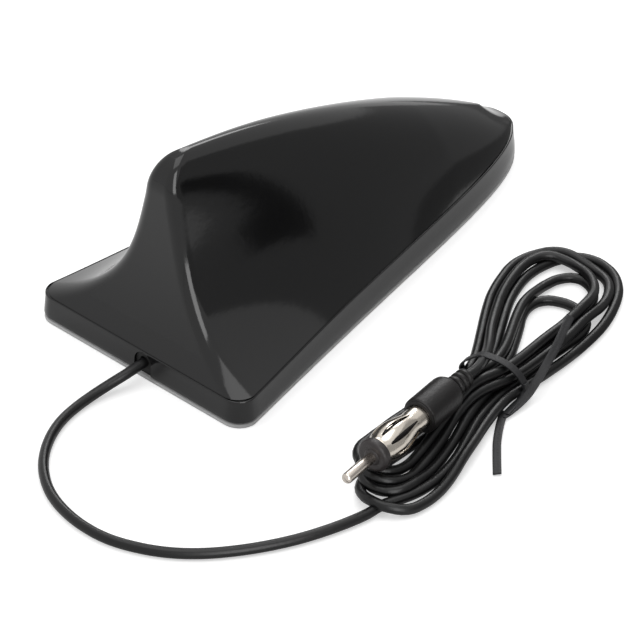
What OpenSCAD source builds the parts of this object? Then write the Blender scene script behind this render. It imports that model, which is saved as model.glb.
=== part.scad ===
// Shark fin aerial for a vehicle roof, with its lead, tied hank and aerial plug.
// Millimetres. X runs from the tail to the nose, Z is up and the pad's underside is Z = 0.

/* [Cover] */
// Length of the cover along its foot
cover_l = 158; // [140:0.5:180]
// Width of the cover at its tail
cover_w = 81.6; // [72:0.2:90]
// Height of the rim's top edge at the tail, above the roof
rim_rear_h = 8.7; // [8.4:0.1:10]
// Height of the rim's top edge from the middle to the nose
rim_front_h = 10.2; // [9:0.1:12]
// Rise of the fin over the rim at its tail
fin_rise = 59.8; // [50:0.2:68]
// Half-width lost for each millimetre towards the nose
flank_taper = 0.18; // [0.15:0.005:0.2]
// Bow of the flanks, which widens the nose again
flank_bow = 0.051; // [0.03:0.001:0.07]
// Squareness of the nose in plan
nose_square = 5.4; // [4:0.1:7]
// Sharpness of the nose's corners in plan
nose_round = 2.4; // [2:0.1:3]
// Set back of the ridge's end behind the nose
nose_back = 10; // [7:0.5:12]
// Radius of the two rear corners in plan
corner_r = 6; // [4:0.5:8]
// Radius of the edges between the tail face and the flanks
tail_r = 4; // [2.5:0.1:5]
// Half-thickness of the ridge at the tail
ridge_r_rear = 6.8; // [6:0.1:8]
// Half-thickness of the ridge at the nose
ridge_r_nose = 14.3; // [12:0.1:16]
// Forward slant of the tail face from its foot to its top
tail_slant = 9.6; // [7:0.1:12]
// Length over which the tail face rolls over into the ridge
tail_roll = 11.7; // [9:0.1:13]
// Hollow of the flanks at the tail
flank_hollow = 4.87; // [4:0.01:5.5]
// Swell of the flanks at the nose
nose_swell = 1.3; // [0.5:0.1:1.6]
// Wall of the cover
wall = 2.2; // [1.8:0.1:2.6]
// Draft of the rim from its foot to its top edge
rim_draft = 0.6; // [0.3:0.1:1]
// Width of the ledge between the rim and the fin
ledge = 0.5; // [0.3:0.1:0.8]

/* [Foot] */
// Thickness of the foam adhesive pad
pad_t = 1.2; // [0.8:0.1:1.6]
// Inset of the pad from the edge of the rim
pad_inset = 0.7; // [0.3:0.1:1.5]
// Thickness of the base plate
plate_t = 2; // [1.8:0.1:2.4]
// Clearance round the base plate
plate_clear = 0.3; // [0.2:0.05:0.5]
// Height of the ribs on the base plate
rib_h = 1.6; // [1:0.1:2.2]
// Distance of the rear screws from the tail
screw_rear_x = 12; // [11:0.5:16]
// Half the distance between the rear screws
screw_rear_y = 29; // [26:0.5:30]
// Distance of the front screws from the tail
screw_front_x = 119; // [112:0.5:122]
// Half the distance between the front screws
screw_front_y = 12; // [10:0.5:13]
// Core diameter of the cover screws
screw_d = 2.4; // [2.2:0.1:2.8]
// Length of the cover screws
screw_l = 7.5; // [6.5:0.5:8]
// Diameter of the cover screws' heads
screw_head_d = 5; // [4.6:0.1:5.4]
// Diameter of the bosses that take the cover screws
boss_d = 6.4; // [6:0.1:7]

/* [Board] */
// Length of the circuit board
board_l = 62; // [58:1:66]
// Width of the circuit board
board_w = 26; // [24:1:30]
// Thickness of the circuit board
board_t = 1.2; // [1:0.1:1.6]
// Distance of the board's rear edge from the tail
board_x = 23; // [22.5:0.5:26]
// Height of the board's standoffs
standoff_h = 4; // [4:0.1:5]
// Diameter of the standoffs
standoff_d = 6; // [5.5:0.1:7]
// Core diameter of the small screws
small_screw_d = 2; // [1.8:0.1:2.2]
// Head diameter of the small screws
small_head_d = 4; // [3.6:0.1:4.2]
// Length of the small screws under their heads
small_screw_l = 4; // [3.6:0.1:4.4]

/* [Radiator] */
// Thickness of the top load plate
load_t = 0.5; // [0.4:0.1:0.8]
// Length of the top load plate
load_l = 68; // [60:1:72]
// Gap between the top load plate and the ridge
load_gap = 6; // [5:0.5:9]
// Height of the top load plate's lower edge over the board
load_lift = 6; // [4.5:0.5:8]
// Diameter of the coil former
former_d = 6; // [5:0.2:6.4]
// Height of the coil former over the board
former_h = 33; // [30:0.5:35]
// Diameter of the coil's wire
wire_d = 0.9; // [0.7:0.1:1]
// Turns of the loading coil
coil_turns = 9; // [7:1:10]
// Pitch of the loading coil
coil_pitch = 2.8; // [2.4:0.1:3]

/* [Cable] */
// Diameter of the cable
cable_d = 3; // [2.6:0.1:3.2]
// Height of the cable's exit over the roof
exit_h = 5.2; // [5.2:0.1:5.4]
// Width of the arched notch for the cable
notch_w = 6.4; // [6:0.1:7]
// Width of the clamp that holds the cable
clamp_w = 5; // [4:0.5:6]
// Spacing of the clamp's two screws
clamp_pitch = 11; // [10:0.5:13]

/* [Hank] */
// Thickness of the hank under the plug, two layers of cable
hank_low_h = 6.2; // [5.5:0.1:6.3]
// Thickness of the hank at its waist and in its big loop
hank_high_h = 9; // [8:0.1:9.2]
// Width of the strap round the waist
tie_w = 2.4; // [2:0.1:3]
// Thickness of the strap
tie_t = 0.6; // [0.4:0.1:0.8]

/* [Plug] */
// Diameter of the plug's pin
pin_d = 3.1; // [3:0.05:3.2]
// Free length of the pin in front of the collar
pin_l = 11.8; // [10:0.1:13]
// Diameter of the collar behind the pin
collar_d = 9.6; // [9.2:0.1:10]
// Thickness of the collar
collar_t = 2.8; // [2:0.1:3.5]
// Diameter of the sleeve's front ring
ring_d = 8.5; // [8.2:0.1:8.8]
// Diameter of the sleeve's bulge
bulge_d = 10.2; // [9.6:0.1:10.6]
// Diameter of the sleeve's rear collar
rear_d = 7.2; // [6.8:0.1:7.6]
// Length of the sleeve
sleeve_l = 20; // [18:0.5:22]
// Wall of the sleeve
sleeve_t = 0.5; // [0.4:0.05:0.6]
// Number of slots in the sleeve
slot_count = 8; // [6:1:8]
// Widest part of each slot
slot_w = 2; // [1.4:0.1:2.2]
// Diameter of the moulded boot
boot_d = 10.6; // [10:0.1:10.7]
// Length of the boot without its strain relief
boot_l = 14.6; // [13:0.1:17]
// Diameter of the ribbed strain relief
relief_d = 6.2; // [5.6:0.1:6.6]
// Number of grooves in the strain relief
relief_grooves = 3; // [2:1:4]

/* [Hidden] */
$fn = 32;
eps = 0.01;

tail_x0 = -cover_l / 2;
plate_top = pad_t + plate_t;
board_top = plate_top + standoff_h + board_t;
rim_run = 60;
ridge_slope = 0.383;
ridge_power = 2.05;
ridge_end = 0.02;
ridge_round = 3.85;
hollow_fade = 1.76;
tail_foot = 1;
tail_curve = 3.8;
roll_start = 0.815;
outer_top = 0.996;
inner_top = 0.98;
foot_blend = 0.15;
rear_n = 3;
corner_n = 5;
flank_n = 25;
half_n = rear_n + corner_n + 1 + flank_n;
loop_n = 2 * half_n - 2;
outer_levels = 22;
inner_levels = 9;

screw_fit = 0.05;
screw_head_t = 1.3;
screw_through = 0.4;
bore_spare = 0.3;
recess_depth = 0.7;
board_hole_in = 4;
board_hole_y = board_w / 2 - 3.5;
small_through = 0.3;
small_head_t = 1.4;
clamp_t = 1.2;
clamp_from_tail = 13;
clamp_boss_h = exit_h - plate_top;
clamp_boss_d = 4.6;
cradle_gap = 0.1;
exit_y = -2.5;
grommet_recess = 1;
grommet_clear = 0.15;
notch_depth = 4.5;
rib_t = 1.2;
rib_gap = 4;
cross_ribs = 3;
cross_rib_pitch = 12;
cross_rib_w = 12;

coil_x = tail_x0 + board_x + 9;
coil_r = former_d / 2 + wire_d / 2 + 0.15;
coil_foot = 2.6;
load_x = coil_x + 9;
load_foot_w = 4;
load_foot_in = 6;
load_min_h = 3;
load_steps = 10;
chip_size = [2, 1.25, 0.9];
toroid_r = 4;
toroid_bar = 1.5;
toroid_pos = [tail_x0 + board_x + 42, 7];

core_d = 0.8;
braid_d = 1.4;
hank_small = [tail_x0 + 8.5, -86.5, 11.8];
tie_x = tail_x0 + 64;
hank_waist = [tie_x, -75.8, 9.8];
hank_big = [tail_x0 + 105.5, -65, 21];
tie_yaw = 8;
tie_span = 21.8;
tie_clear = 0.15;
plug_tip = [tail_x0 - 5.9, -82.9, 11.6];
plug_yaw = 5.3;
plug_fit = 0.06;
sleeve_x = pin_l + collar_t;
boot_x = sleeve_x + sleeve_l - 1;
relief_x = boot_x + boot_l;
relief_l = 7.5;

// Route of the lead from its stripped end inside the cover to the hank: its distance from the tail, its
// place across, and its height over a cable that lies on the roof
strip_x = tail_x0 + board_x - 4;
lead_plan = [
    [-5, -2.2, 3], [-10.8, -0.7, 1.5], [-16.7, 0.3, 0.4], [-23.6, 0.2, 0], [-30.7, -1.2, 0], [-38, -4.4, 0],
    [-44.8, -9.2, 0], [-50, -14.9, 0], [-53.8, -21.2, 0], [-56.3, -28.8, 0], [-57.3, -36.8, 0],
    [-56.7, -44.9, 0], [-54.2, -52.6, 0], [-50.3, -60, 0], [-44.8, -66.8, 0], [-37.9, -72.8, 0],
    [-29.9, -78.2, 0], [-21.7, -82.5, 0], [-13.5, -85.7, 0], [-7.6, -87.5, 0], [-3.7, -88.4, 0]];
cable_route = concat(
    [for (x = [strip_x, strip_x - 6, strip_x - 12, tail_x0 + 1]) [x, exit_y, exit_h]],
    [for (p = lead_plan) [tail_x0 + p[0], p[1], cable_d / 2 + p[2]]]);
// The strap leaves the ring along the hank's side as far as its twist, where its two free ends start:
// one laid up over the big loop and one down to the surface
tie_twist = [-9.3, -89.8, 1.1];
tie_side = [for (p = [[1.4, -86.9, 1.8], [-3, -88.5, 1.4], tie_twist]) [tie_x + p[0], p[1], p[2]]];
tie_tail_up = [for (p = [tie_twist, [-4, -90.1, 1.7], [-0.6, -89.9, 3], [2.5, -89.1, 5.2], [7.6, -88.6, 9],
    [13.5, -86.4, 10.5], [27.4, -80.3, 10.1]]) [tie_x + p[0], p[1], p[2]]];
tie_tail_down = [for (p = [tie_twist, [-13.4, -90.7, 0.9], [-20.3, -95.4, 0.9], [-30.6, -103, 0.9]])
    [tie_x + p[0], p[1], p[2]]];
// Stripped end of the cable on its way to the board
strip_lift = 0.2;
core_y = exit_y + 0.6;
core_z = board_top + core_d / 2 + strip_lift;
core_route = [[strip_x, core_y, exit_h], [strip_x + 0.6, core_y, exit_h],
    [strip_x + 2, core_y, exit_h + 0.37 * (core_z - exit_h)], [strip_x + 3.6, core_y, core_z],
    [strip_x + 6.6, core_y, core_z]];
braid_y = exit_y - 0.8;
braid_z = board_top + braid_d / 2 + strip_lift;
braid_route = [[strip_x, braid_y, exit_h], [strip_x + 0.6, braid_y, exit_h],
    [strip_x + 2, braid_y - 0.3, exit_h + 0.34 * (braid_z - exit_h)], [strip_x + 3.6, braid_y - 1.1, braid_z],
    [strip_x + 6.8, braid_y - 2.3, braid_z]];

function clamp01(t) = max(0, min(1, t));
function smooth(t) = let (c = clamp01(t)) c * c * (3 - 2 * c);
function along(x) = clamp01(x / cover_l);

// Half of the plan's width at x from the tail, closed by the nose at reach
function half_w(x, reach) =
    let (t = clamp01(x / reach))
    (cover_w / 2 - flank_taper * x + flank_bow * x * t * t) * pow(1 - pow(t, nose_square), 1 / nose_round);

function rim_z(x) = rim_rear_h + (rim_front_h - rim_rear_h) * smooth(x / rim_run);

function rise(x) =
    let (t = along(x))
    fin_rise * (1 - ridge_slope * t - (1 - ridge_end - ridge_slope) * pow(t, ridge_power));

function skin_z(x, v, g) = rim_z(x) + v * rise(x) - g;

// Flank section: 1 at the rim and 0 at the ridge, hollow for k > 0 and swollen for k < 0
function section(v, k) =
    let (c = abs(k) < 0.001 ? 0.001 : k)
    (exp(-c * v) - exp(-c)) / (1 - exp(-c));

function bend(x) =
    flank_hollow * pow(1 - along(x), hollow_fade) - nose_swell * smooth(along(x));

function flank_y(x, v, g, reach) =
    let (w = max(0, half_w(x, reach) - (rim_draft + ledge + g) * min(1, (reach - x) / 4)),
        r = min(ridge_r_rear + (ridge_r_nose - ridge_r_rear) * along(x) - g, 0.6 * w))
    r * sqrt(1 - pow(v, ridge_round)) + (w - r) * section(v, bend(x));

function tail_x(v) =
    let (roll = clamp01((v - roll_start) / (1 - roll_start)))
    tail_foot + tail_slant * (1 - exp(-tail_curve * v)) + tail_roll * (1 - sqrt(1 - roll * roll));

// One half of a level of the fin's skin, from the middle of the tail round to the nose
function fin_half(v, g) =
    let (x0 = tail_x(v) + g,
        reach = cover_l - rim_draft - ledge - g - nose_back * (1 - cos(90 * v)),
        want = corner_r + (tail_r - corner_r) * clamp01(v / foot_blend) - 0.5 * g,
        r = min(want, 0.6 * flank_y(x0, v, g, reach)),
        xe = x0 + r,
        ye = flank_y(xe, v, g, reach))
    concat(
        [for (i = [0 : rear_n - 1]) [x0, (ye - r) * i / rear_n, skin_z(xe, v, g)]],
        [for (i = [0 : corner_n]) [xe - r * cos(90 * i / corner_n), ye - r + r * sin(90 * i / corner_n),
            skin_z(xe, v, g)]],
        [for (i = [1 : flank_n]) let (x = xe + (reach - xe) * sin(90 * i / flank_n))
            [x, i == flank_n ? 0 : flank_y(x, v, g, reach), skin_z(x, v, g)]]);

// One half of the foot's outline, set in from the edge of the rim
function foot_half(inset, z) =
    let (reach = cover_l - inset,
        r = max(1, corner_r - inset),
        xe = inset + r,
        ye = half_w(xe, reach) - inset)
    concat(
        [for (i = [0 : rear_n - 1]) [inset, (ye - r) * i / rear_n, z]],
        [for (i = [0 : corner_n]) [xe - r * cos(90 * i / corner_n), ye - r + r * sin(90 * i / corner_n), z]],
        [for (i = [1 : flank_n]) let (x = xe + (reach - xe) * sin(90 * i / flank_n))
            [x, i == flank_n ? 0 : max(0.02, half_w(x, reach) - inset * min(1, (reach - x) / 4)), z]]);

function rim_top_half() = [for (p = foot_half(rim_draft, 0)) [p[0], p[1], rim_z(p[0])]];

// A full loop of points, moved to the part's own origin
function full_loop(half) =
    concat([for (p = half) [p[0] + tail_x0, p[1], p[2]]],
        [for (i = [half_n - 2 : -1 : 1]) [half[i][0] + tail_x0, -half[i][1], half[i][2]]]);

function outer_rings() =
    concat([foot_half(0, pad_t), rim_top_half()],
        [for (i = [0 : outer_levels]) fin_half(outer_top * (1 - pow(1 - i / outer_levels, 2)), 0)]);

function inner_rings(g) =
    concat([foot_half(g, pad_t), foot_half(g, plate_top + 0.6)],
        [for (i = [0 : inner_levels]) fin_half(inner_top * (1 - pow(1 - i / inner_levels, 2)), g)]);

function reversed(list) = [for (i = [len(list) - 1 : -1 : 0]) list[i]];

// Faces that close a loop: one flat face at the tail, then a strip across the middle line
function cap(first, up) =
    let (m = half_n - 1,
        turn = rear_n + corner_n,
        tail = [for (i = [-turn : turn]) first + (i + loop_n) % loop_n],
        strip = [for (i = [turn : m - 1])
            let (a = first + i, b = a + 1, c = first + loop_n - i - 1, d = c + 1)
            each i == m - 1 ? [[a, b, d]] : [[a, b, c], [a, c, d]]])
    [for (f = concat([tail], strip)) up ? f : reversed(f)];

// Closed solid through a list of loops
module loft(rings) {
    n = len(rings);
    points = [for (r = rings) each full_loop(r)];
    sides = [for (k = [0 : n - 2]) for (i = [0 : loop_n - 1])
        let (a = k * loop_n + i, b = k * loop_n + (i + 1) % loop_n, c = b + loop_n, d = a + loop_n)
        each [[a, b, c], [a, c, d]]];
    polyhedron(points, concat(sides, cap(0, false), cap((n - 1) * loop_n, true)), 10);
}

module foot_outline(inset) {
    polygon([for (p = full_loop(foot_half(inset, 0))) [p[0], p[1]]]);
}

function cover_screw_spots() = [for (s = [-1, 1]) each [
    [tail_x0 + screw_rear_x, s * screw_rear_y], [tail_x0 + screw_front_x, s * screw_front_y]]];

function board_screw_spots() = [
    [tail_x0 + board_x + board_hole_in, board_hole_y],
    [tail_x0 + board_x + board_l - board_hole_in, -board_hole_y]];

function clamp_screw_spots() = [for (s = [-1, 1]) [tail_x0 + clamp_from_tail, exit_y + s * clamp_pitch / 2]];

module at_each(spots) {
    for (p = spots) translate([p[0], p[1], 0]) children();
}

// Arch over the cable with straight sides down to z_low, extruded forward from the tail
module notch_shape(width, depth, z_low) {
    translate([tail_x0, exit_y, z_low])
        difference() {
            union() {
                translate([0, 0, exit_h - z_low]) rotate([0, 90, 0]) cylinder(d = width, h = depth);
                translate([0, -width / 2, 0]) cube([depth, width, exit_h - z_low]);
            }
            translate([-1, -width, -width]) cube([depth + 2, 2 * width, width]);
        }
}

module cover() {
    color("#161617")
    difference() {
        union() {
            loft(concat(reversed(inner_rings(wall)), outer_rings()));
            intersection() {
                loft(inner_rings(wall / 2));
                at_each(cover_screw_spots()) translate([0, 0, plate_top])
                    cylinder(d = boss_d, h = fin_rise);
            }
        }
        at_each(cover_screw_spots())
            cylinder(d = screw_d + 2 * screw_fit, h = pad_t + screw_l + bore_spare);
        translate([-1, 0, 0]) notch_shape(notch_w, notch_depth + 1, 0);
    }
}

module base_plate() {
    color("#232425")
    difference() {
        union() {
            translate([0, 0, pad_t]) linear_extrude(plate_t) foot_outline(wall + plate_clear);
            at_each(board_screw_spots()) translate([0, 0, pad_t])
                cylinder(d = standoff_d, h = plate_t + standoff_h);
            at_each(clamp_screw_spots()) translate([0, 0, pad_t])
                cylinder(d = clamp_boss_d, h = plate_t + clamp_boss_h);
            translate([tail_x0 + clamp_from_tail - clamp_w / 2, exit_y - cable_d / 2, pad_t])
                cube([clamp_w, cable_d, plate_t + exit_h - cable_d / 2 - plate_top - cradle_gap]);
            for (s = [-1, 1])
                translate([tail_x0 + screw_rear_x + boss_d, s * (board_w / 2 + rib_gap) - rib_t / 2, pad_t])
                    cube([board_l - rib_gap, rib_t, plate_t + rib_h]);
            for (k = [1 : cross_ribs])
                translate([tail_x0 + board_x + board_l + k * cross_rib_pitch, -cross_rib_w / 2, pad_t])
                    cube([rib_t, cross_rib_w, plate_t + rib_h]);
        }
        at_each(cover_screw_spots()) {
            cylinder(d = screw_d + screw_through, h = plate_top + 1);
            translate([0, 0, pad_t])
                cylinder(d1 = screw_head_d + 2 * screw_fit, d2 = screw_d + 2 * screw_fit, h = screw_head_t);
        }
        at_each(board_screw_spots())
            translate([0, 0, board_top - small_screw_l - bore_spare])
                cylinder(d = small_screw_d + 2 * screw_fit, h = small_screw_l + 1);
        at_each(clamp_screw_spots())
            translate([0, 0, exit_h + clamp_t - small_screw_l - bore_spare])
                cylinder(d = small_screw_d + 2 * screw_fit, h = small_screw_l + 1);
    }
}

module adhesive_pad() {
    color("#c9cbcc") linear_extrude(pad_t) foot_outline(pad_inset);
}

module cross_recess(size, depth) {
    for (a = [0, 90]) rotate(a) translate([-size / 2, -size / 8, -eps]) cube([size, size / 4, depth + eps]);
}

module cover_screws() {
    color("#8f9396")
    at_each(cover_screw_spots()) translate([0, 0, pad_t])
        difference() {
            rotate_extrude()
                polygon([[0, 0], [screw_head_d / 2, 0], [screw_d / 2, screw_head_t],
                    [screw_d / 2, screw_l - 1], [screw_d / 5, screw_l], [0, screw_l]]);
            cross_recess(0.56 * screw_head_d, recess_depth);
        }
}

// Pan head screw with its head's underside at Z = 0
module pan_screw() {
    difference() {
        rotate_extrude()
            polygon([[0, -small_screw_l], [small_screw_d / 5, -small_screw_l],
                [small_screw_d / 2, 0.8 - small_screw_l], [small_screw_d / 2, 0], [small_head_d / 2, 0],
                [small_head_d / 2, small_head_t * 0.6], [small_head_d * 0.32, small_head_t],
                [0, small_head_t]]);
        translate([0, 0, small_head_t]) mirror([0, 0, 1]) cross_recess(0.56 * small_head_d, recess_depth);
    }
}

module board_screws() {
    color("#b9bcbf") at_each(board_screw_spots()) translate([0, 0, board_top]) pan_screw();
}

module clamp_screws() {
    color("#b9bcbf") at_each(clamp_screw_spots()) translate([0, 0, exit_h + clamp_t]) pan_screw();
}

module circuit_board() {
    color("#1f6b3a")
    difference() {
        translate([tail_x0 + board_x, -board_w / 2, plate_top + standoff_h]) cube([board_l, board_w, board_t]);
        at_each(board_screw_spots()) translate([0, 0, plate_top])
            cylinder(d = small_screw_d + small_through, h = standoff_h + board_t + 1);
    }
}

// Sheet metal plate that stands on two feet and follows the ridge
module top_load_plate() {
    low = board_top + load_lift;
    top_edge = [for (i = [load_steps : -1 : 0])
        let (x = load_x - tail_x0 + load_l * i / load_steps)
        [x + tail_x0, max(low + load_min_h, skin_z(x, 1, wall + load_gap))]];
    foot_front = tail_x0 + board_x + board_l - load_foot_in;
    color("#c3c6c8")
    translate([0, load_t / 2, 0]) rotate([90, 0, 0]) linear_extrude(load_t)
        difference() {
            union() {
                polygon(concat([[load_x, low], [load_x + load_l, low]], top_edge));
                for (x = [load_x + 3, foot_front - load_foot_w])
                    translate([x, board_top]) square([load_foot_w, load_lift + 1]);
            }
            for (x = [load_x + 14, load_x + 28]) translate([x, low + 10]) circle(d = 5);
        }
}

module coil_former() {
    color("#e4dfd2")
    translate([coil_x, 0, board_top])
        difference() {
            union() {
                cylinder(d = former_d, h = former_h);
                cylinder(d = former_d + 4, h = 1.2);
                translate([0, 0, former_h - 0.8]) cylinder(d = former_d + 1.2, h = 0.8);
            }
            translate([coil_r - wire_d, -wire_d, -1]) cube([4, 2 * wire_d, 3]);
            translate([0, 0, 2]) cylinder(d = former_d - 2.4, h = former_h);
        }
}

function unit(v) = v / norm(v);

// Tangent of a route at point i
function heading(path, i) = unit(path[min(i + 1, len(path) - 1)] - path[max(i - 1, 0)]);

// Tube or strap along a route, with a section of sides corners
module sweep(path, wide, high, sides, turn = 0) {
    n = len(path);
    points = [for (i = [0 : n - 1])
        let (t = heading(path, i),
            side = unit(cross([0, 0, 1], abs(t[2]) > 0.99 ? [1, 0, 0] : t)),
            up = cross(t, side))
        for (k = [0 : sides - 1])
            let (a = turn + 360 * k / sides)
            path[i] + side * (wide * cos(a)) + up * (high * sin(a))];
    faces = [for (i = [0 : n - 2]) for (k = [0 : sides - 1])
        let (a = i * sides + k, b = i * sides + (k + 1) % sides)
        each [[a, b + sides, b], [a, a + sides, b + sides]]];
    ends = [[for (k = [0 : sides - 1]) k], [for (k = [sides - 1 : -1 : 0]) (n - 1) * sides + k]];
    polyhedron(points, concat(faces, ends), 10);
}

module loading_coil() {
    steps = 16;
    low = board_top + coil_foot;
    turns = [for (i = [0 : coil_turns * steps])
        [coil_x + coil_r * cos(360 * i / steps), coil_r * sin(360 * i / steps), low + coil_pitch * i / steps]];
    top = low + coil_pitch * coil_turns;
    lead_in = [[coil_x + coil_r, -0.35, board_top + 0.05], [coil_x + coil_r, -0.3, board_top + 1.2]];
    lead_out = [[coil_x + coil_r + 1.2, 0.9, top + 0.3], [load_x - 0.1, 0, top + 0.5]];
    color("#b87333") sweep(concat(lead_in, turns, lead_out), wire_d / 2, wire_d / 2, 6);
}

module matching_coil() {
    color("#7a4a24")
    translate([toroid_pos[0], toroid_pos[1], board_top + toroid_bar])
        rotate_extrude() translate([toroid_r, 0]) circle(r = toroid_bar);
}

module chip_parts() {
    color("#3a3a3c")
    for (i = [0 : 2]) for (s = [-1, 1])
        translate([tail_x0 + board_x + 18 + 6 * i, s * 5.2, board_top])
            translate([-chip_size[0] / 2, -chip_size[1] / 2, 0]) cube(chip_size);
}

// Saddle clamp: a strip with an arch over the cable
module cable_clamp() {
    half = clamp_pitch / 2 + 2.6;
    arch = cable_d / 2 + cradle_gap;
    color("#2c2d2f")
    translate([tail_x0 + clamp_from_tail, exit_y, exit_h])
        difference() {
            rotate([90, 0, 90]) translate([0, 0, -clamp_w / 2]) linear_extrude(clamp_w)
                difference() {
                    union() {
                        translate([-half, 0]) square([2 * half, clamp_t]);
                        circle(r = arch + clamp_t);
                    }
                    circle(r = arch);
                    translate([-half, -10]) square([2 * half, 10]);
                }
            for (s = [-1, 1]) translate([0, s * clamp_pitch / 2, -1])
                cylinder(d = small_screw_d + small_through, h = clamp_t + 2);
        }
}

module cable_grommet() {
    width = notch_w - 2 * grommet_clear;
    step = wall + plate_clear - 0.2;
    color("#101011")
    difference() {
        union() {
            translate([grommet_recess, 0, 0]) notch_shape(width, step - grommet_recess, pad_t + 0.1);
            translate([step - eps, 0, 0]) notch_shape(width, notch_depth - step - 0.2, plate_top + 0.1);
        }
        translate([tail_x0 - 1, exit_y, exit_h]) rotate([0, 90, 0])
            cylinder(d = cable_d + 2 * cradle_gap, h = notch_depth + 4);
    }
}

module cable_core() {
    color("#c98a4b") sweep(core_route, core_d / 2, core_d / 2, 6);
}

module cable_braid() {
    color("#b5b0a6") sweep(braid_route, braid_d / 2, braid_d / 2, 6);
}

module cable() {
    color("#141415") sweep(cable_route, cable_d / 2, cable_d / 2, 8, 22.5);
}

// Two round ends [x, y, r] joined by their outer tangents
module joined_ends(a, b) {
    d = [b[0] - a[0], b[1] - a[1]];
    way = atan2(d[1], d[0]);
    lean = acos((a[2] - b[2]) / norm(d));
    corners = [for (e = [[a, lean], [b, lean], [b, -lean], [a, -lean]])
        [e[0][0] + e[0][2] * cos(way + e[1]), e[0][1] + e[0][2] * sin(way + e[1])]];
    translate([a[0], a[1]]) circle(r = a[2], $fn = 48);
    translate([b[0], b[1]]) circle(r = b[2], $fn = 48);
    polygon(corners);
}

module tie_section(grow) {
    r = 3;
    w = tie_span / 2 + grow;
    top = hank_high_h + tie_t + tie_clear + grow;
    translate([-w + r, -grow]) square([2 * (w - r), top + grow]);
    translate([-w, r - grow]) square([2 * w, top - 2 * r + grow]);
    for (x = [-w + r, w - r]) for (z = [r - grow, top - r]) translate([x, z]) circle(r = r);
}

module at_tie() {
    translate([tie_x, hank_waist[1], 0]) rotate([0, 0, tie_yaw]) rotate([90, 0, 90]) children();
}

module cable_hank() {
    color("#141415")
    difference() {
        union() {
            linear_extrude(hank_low_h) joined_ends(hank_small, hank_waist);
            linear_extrude(hank_high_h) joined_ends(hank_waist, hank_big);
        }
        at_tie() translate([0, 0, -tie_w / 2 - tie_clear]) linear_extrude(tie_w + 2 * tie_clear)
            difference() {
                translate([-tie_span, -5]) square([2 * tie_span, 30]);
                tie_section(-tie_t - tie_clear);
            }
    }
}

module cable_tie() {
    color("#26272a") {
        at_tie() translate([0, 0, -tie_w / 2]) linear_extrude(tie_w)
            difference() {
                tie_section(0);
                tie_section(-tie_t);
            }
        sweep(tie_side, tie_w * 0.7, tie_t * 0.7, 4, 45);
        sweep(tie_tail_up, tie_w * 0.7, tie_t * 0.7, 4, 45);
        sweep(tie_tail_down, tie_w * 0.7, tie_t * 0.7, 4, 45);
    }
}

module at_plug() {
    translate(plug_tip) rotate([0, 0, plug_yaw]) rotate([0, 90, 0]) children();
}

module plug_pin() {
    r = pin_d / 2;
    dome = [for (a = [0 : 15 : 90]) [r * sin(a), r * 0.7 * (1 - cos(a))]];
    color("#b9b4aa") at_plug() rotate_extrude()
        polygon(concat(dome, [[r, pin_l], [r - 0.3, pin_l], [r - 0.3, boot_x - 0.1], [0, boot_x - 0.1]]));
}

module plug_insulator() {
    neck = ring_d / 2 - sleeve_t - plug_fit;
    bore = pin_d / 2 - 0.3 + plug_fit;
    color("#2a2628") at_plug() rotate_extrude()
        polygon([[bore, pin_l], [collar_d / 2 - 0.7, pin_l], [collar_d / 2, pin_l + 0.7],
            [collar_d / 2, sleeve_x - 0.4], [collar_d / 2 - 0.4, sleeve_x], [neck, sleeve_x],
            [neck, sleeve_x + 3.6], [bore, sleeve_x + 3.6]]);
}

// Outer radius of the sleeve at s, which runs from 0 at its ring to 1 at its end
function sleeve_r(s) =
    let (u = clamp01((s - 0.06) / 0.68),
        base = ring_d / 2 + (rear_d / 2 - ring_d / 2) * smooth(u),
        middle = (ring_d + rear_d) / 4)
    base + (bulge_d / 2 - middle) * pow(sin(180 * pow(u, 0.85)), 1.3);

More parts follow.
